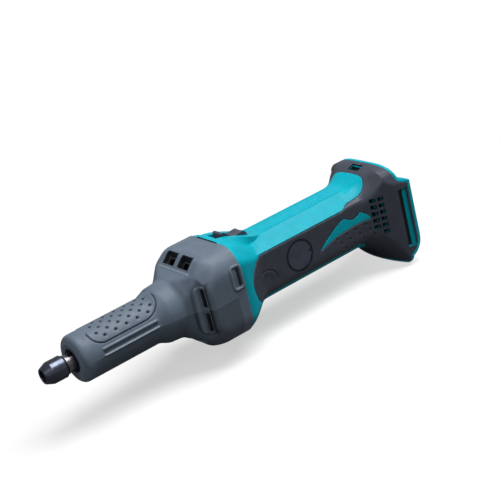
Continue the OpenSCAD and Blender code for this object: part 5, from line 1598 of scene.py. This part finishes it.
@dataclass
class Studio:
    """Camera, lamps, floor and background.

    Attributes:
        eye: Camera's place in metres.
        back: Direction from the scene to the camera.
        right: Direction to the right of the view.
        lens: Focal length in millimetres for a 36 mm sensor.
        floor_z, floor_half: Height and half width of the floor in metres.
        middle: Place on the floor, in metres, that the white grows away from.
        sky: Strength of the background as light on the object.
        gloss: How much of the background's full strength a gloss sees.
        bounce: Colour of the floor for light that it throws back.
        paper_white: How much of the floor's look is plain white near the object.
        lamps: The lamps.
    """

    eye: Triple = (-0.33544, -0.86294, 0.43289)
    back: Triple = (-0.48944956, -0.78422727, 0.38134855)
    right: Triple = (0.7725, -0.5934, -0.2290)
    lens: float = 96.63
    floor_z: float = -0.0547
    floor_half: float = 6.0
    middle: Pair = (0.17, 0.0)
    sky: float = 0.1
    gloss: float = 0.35
    bounce: float = 0.15
    paper_white: float = 0.55
    lamps: tuple[Lamp, ...] = (Lamp("key", (0.6, -0.25, 1.3), (0.17, 0.0, 0.0), (0.8, 1.3), 29.0),
                               Lamp("front_fill", (-0.9, -0.5, 0.8), (0.15, 0.0, 0.0), (0.7, 0.7), 4.0))

    def camera(self) -> None:
        """Sets the camera, with no shift and no depth of field."""
        data = bpy.data.cameras.new("camera")
        data.lens = self.lens
        data.sensor_width = 36.0
        data.clip_end = 20.0
        eye = bpy.data.objects.new("camera", data)
        b = Vector(self.back).normalized()
        r = Vector(self.right)
        r = (r - r.dot(b) * b).normalized()
        u = b.cross(r)
        rows = [(r[i], u[i], b[i], self.eye[i]) for i in range(3)]
        eye.matrix_world = Matrix((*rows, (0, 0, 0, 1)))
        bpy.context.scene.collection.objects.link(eye)
        bpy.context.scene.camera = eye

    def background(self) -> None:
        """White where the camera, a gloss or glass looks, and a softer grey as light on the object."""
        world = bpy.data.worlds.new("studio")
        world.use_nodes = True
        bpy.context.scene.world = world
        tree = world.node_tree
        shade = tree.nodes["Background"]
        shade.inputs["Color"].default_value = (1.0, 1.0, 1.0, 1.0)
        path = tree.nodes.new("ShaderNodeLightPath").outputs
        seen = combined(tree, "MAXIMUM", path["Is Camera Ray"], path["Is Transmission Ray"])
        gloss = combined(tree, "MULTIPLY", path["Is Glossy Ray"], self.gloss)
        level = tree.nodes.new("ShaderNodeMapRange")
        level.inputs["To Min"].default_value = self.sky
        level.inputs["To Max"].default_value = 1.0
        tree.links.new(combined(tree, "MAXIMUM", seen, gloss), level.inputs["Value"])
        tree.links.new(level.outputs["Result"], shade.inputs["Strength"])

    def floor(self) -> None:
        """Wide pale floor that shows white to the camera but keeps the object's shadow."""
        mesh = bpy.data.meshes.new("floor")
        e, z = self.floor_half, self.floor_z
        mesh.from_pydata([(-e, -e, z), (e, -e, z), (e, e, z), (-e, e, z)], [], [(0, 1, 2, 3)])
        floor = bpy.data.objects.new("floor", mesh)
        bpy.context.scene.collection.objects.link(floor)
        g = Graph("floor_paper")
        paper = g.ramp(g.noise(60.0, 2.0), 0.3, 0.7, (0.90, 0.90, 0.90), (0.93, 0.93, 0.93))
        seen = g.nodes.new("ShaderNodeLightPath").outputs["Is Camera Ray"]
        unseen = combined(g.tree, "SUBTRACT", 1.0, seen)
        g.join(g.mix(unseen, paper, (self.bounce,) * 3), g.shader.inputs["Base Color"])
        # to the camera the paper turns to plain white away from the object
        away = g.nodes.new("ShaderNodeVectorMath")
        away.operation = "DISTANCE"
        away.inputs[1].default_value = (*self.middle, self.floor_z)
        g.join(g.place, away.inputs[0])
        share = g.span(away.outputs["Value"], 0.1, 0.45, self.paper_white, 1.0)
        white = combined(g.tree, "MULTIPLY", share, seen)
        plain = g.nodes.new("ShaderNodeEmission")
        plain.inputs["Color"].default_value = (1.0, 1.0, 1.0, 1.0)
        mixed = g.nodes.new("ShaderNodeMixShader")
        for place, source in enumerate((white, g.shader.outputs["BSDF"], plain.outputs["Emission"])):
            g.join(source, mixed.inputs[place])
        g.join(mixed.outputs["Shader"], g.nodes["Material Output"].inputs["Surface"])
        g.shader.inputs["Roughness"].default_value = 0.9
        g.shader.inputs["Specular IOR Level"].default_value = 0.1
        mesh.materials.append(g.material)

    def build(self) -> None:
        """Builds the studio."""
        bpy.context.scene.view_settings.view_transform = "Standard"
        self.camera()
        self.background()
        self.floor()
        for lamp in self.lamps:
            lamp.build()


# ---------------------------------------------------------------- carried-over nodes


@dataclass
class Internals:
    """Gives every carried-over solid its finish.

    Attributes:
        finishes: The finish of each slot of the record.
    """

    finishes: dict[str, Finish] = field(default_factory=lambda: {
        f.slot: f for f in (BOOT_RUBBER, GRIP_RUBBER, TEAL_PLASTIC, BLACK_PLASTIC, FAN_PLASTIC, CARD, RED_WIRE,
                            BLACK_WIRE, CARBON, MAGNET, NUT_STEEL, SPINDLE_STEEL, BEARING_STEEL, CAST_METAL,
                            CORE_STEEL, ZINC_STEEL, COPPER, BRASS)})

    def build(self) -> None:
        """Puts the finish of each node's slot on all of its material slots."""
        slots = {part["node"]: part["material_slot"] for part in frame["record"]["subparts"]}
        for name, node in frame["nodes"].items():
            finish = self.finishes.get(slots.get(name), BLACK_PLASTIC)
            if name in ("long_screws", "housing_screws"):
                finish = DARK_SCREW
            if not node.material_slots:
                node.data.materials.append(finish.material())
            for place in node.material_slots:
                place.material = finish.material()
        log.info("dressed %d carried-over nodes", len(frame["nodes"]))


def main() -> None:
    """Builds the scene in order."""
    logging.basicConfig(level=logging.INFO, format="%(name)s: %(message)s")
    Studio().build()
    Internals().build()
    FrontBoot().build()
    form = HousingForm()
    for side in Side:
        HousingHalf(side, form).build()
        GripHalf(side, form).build()
    Knob().build()


if __name__ == "__main__":
    main()
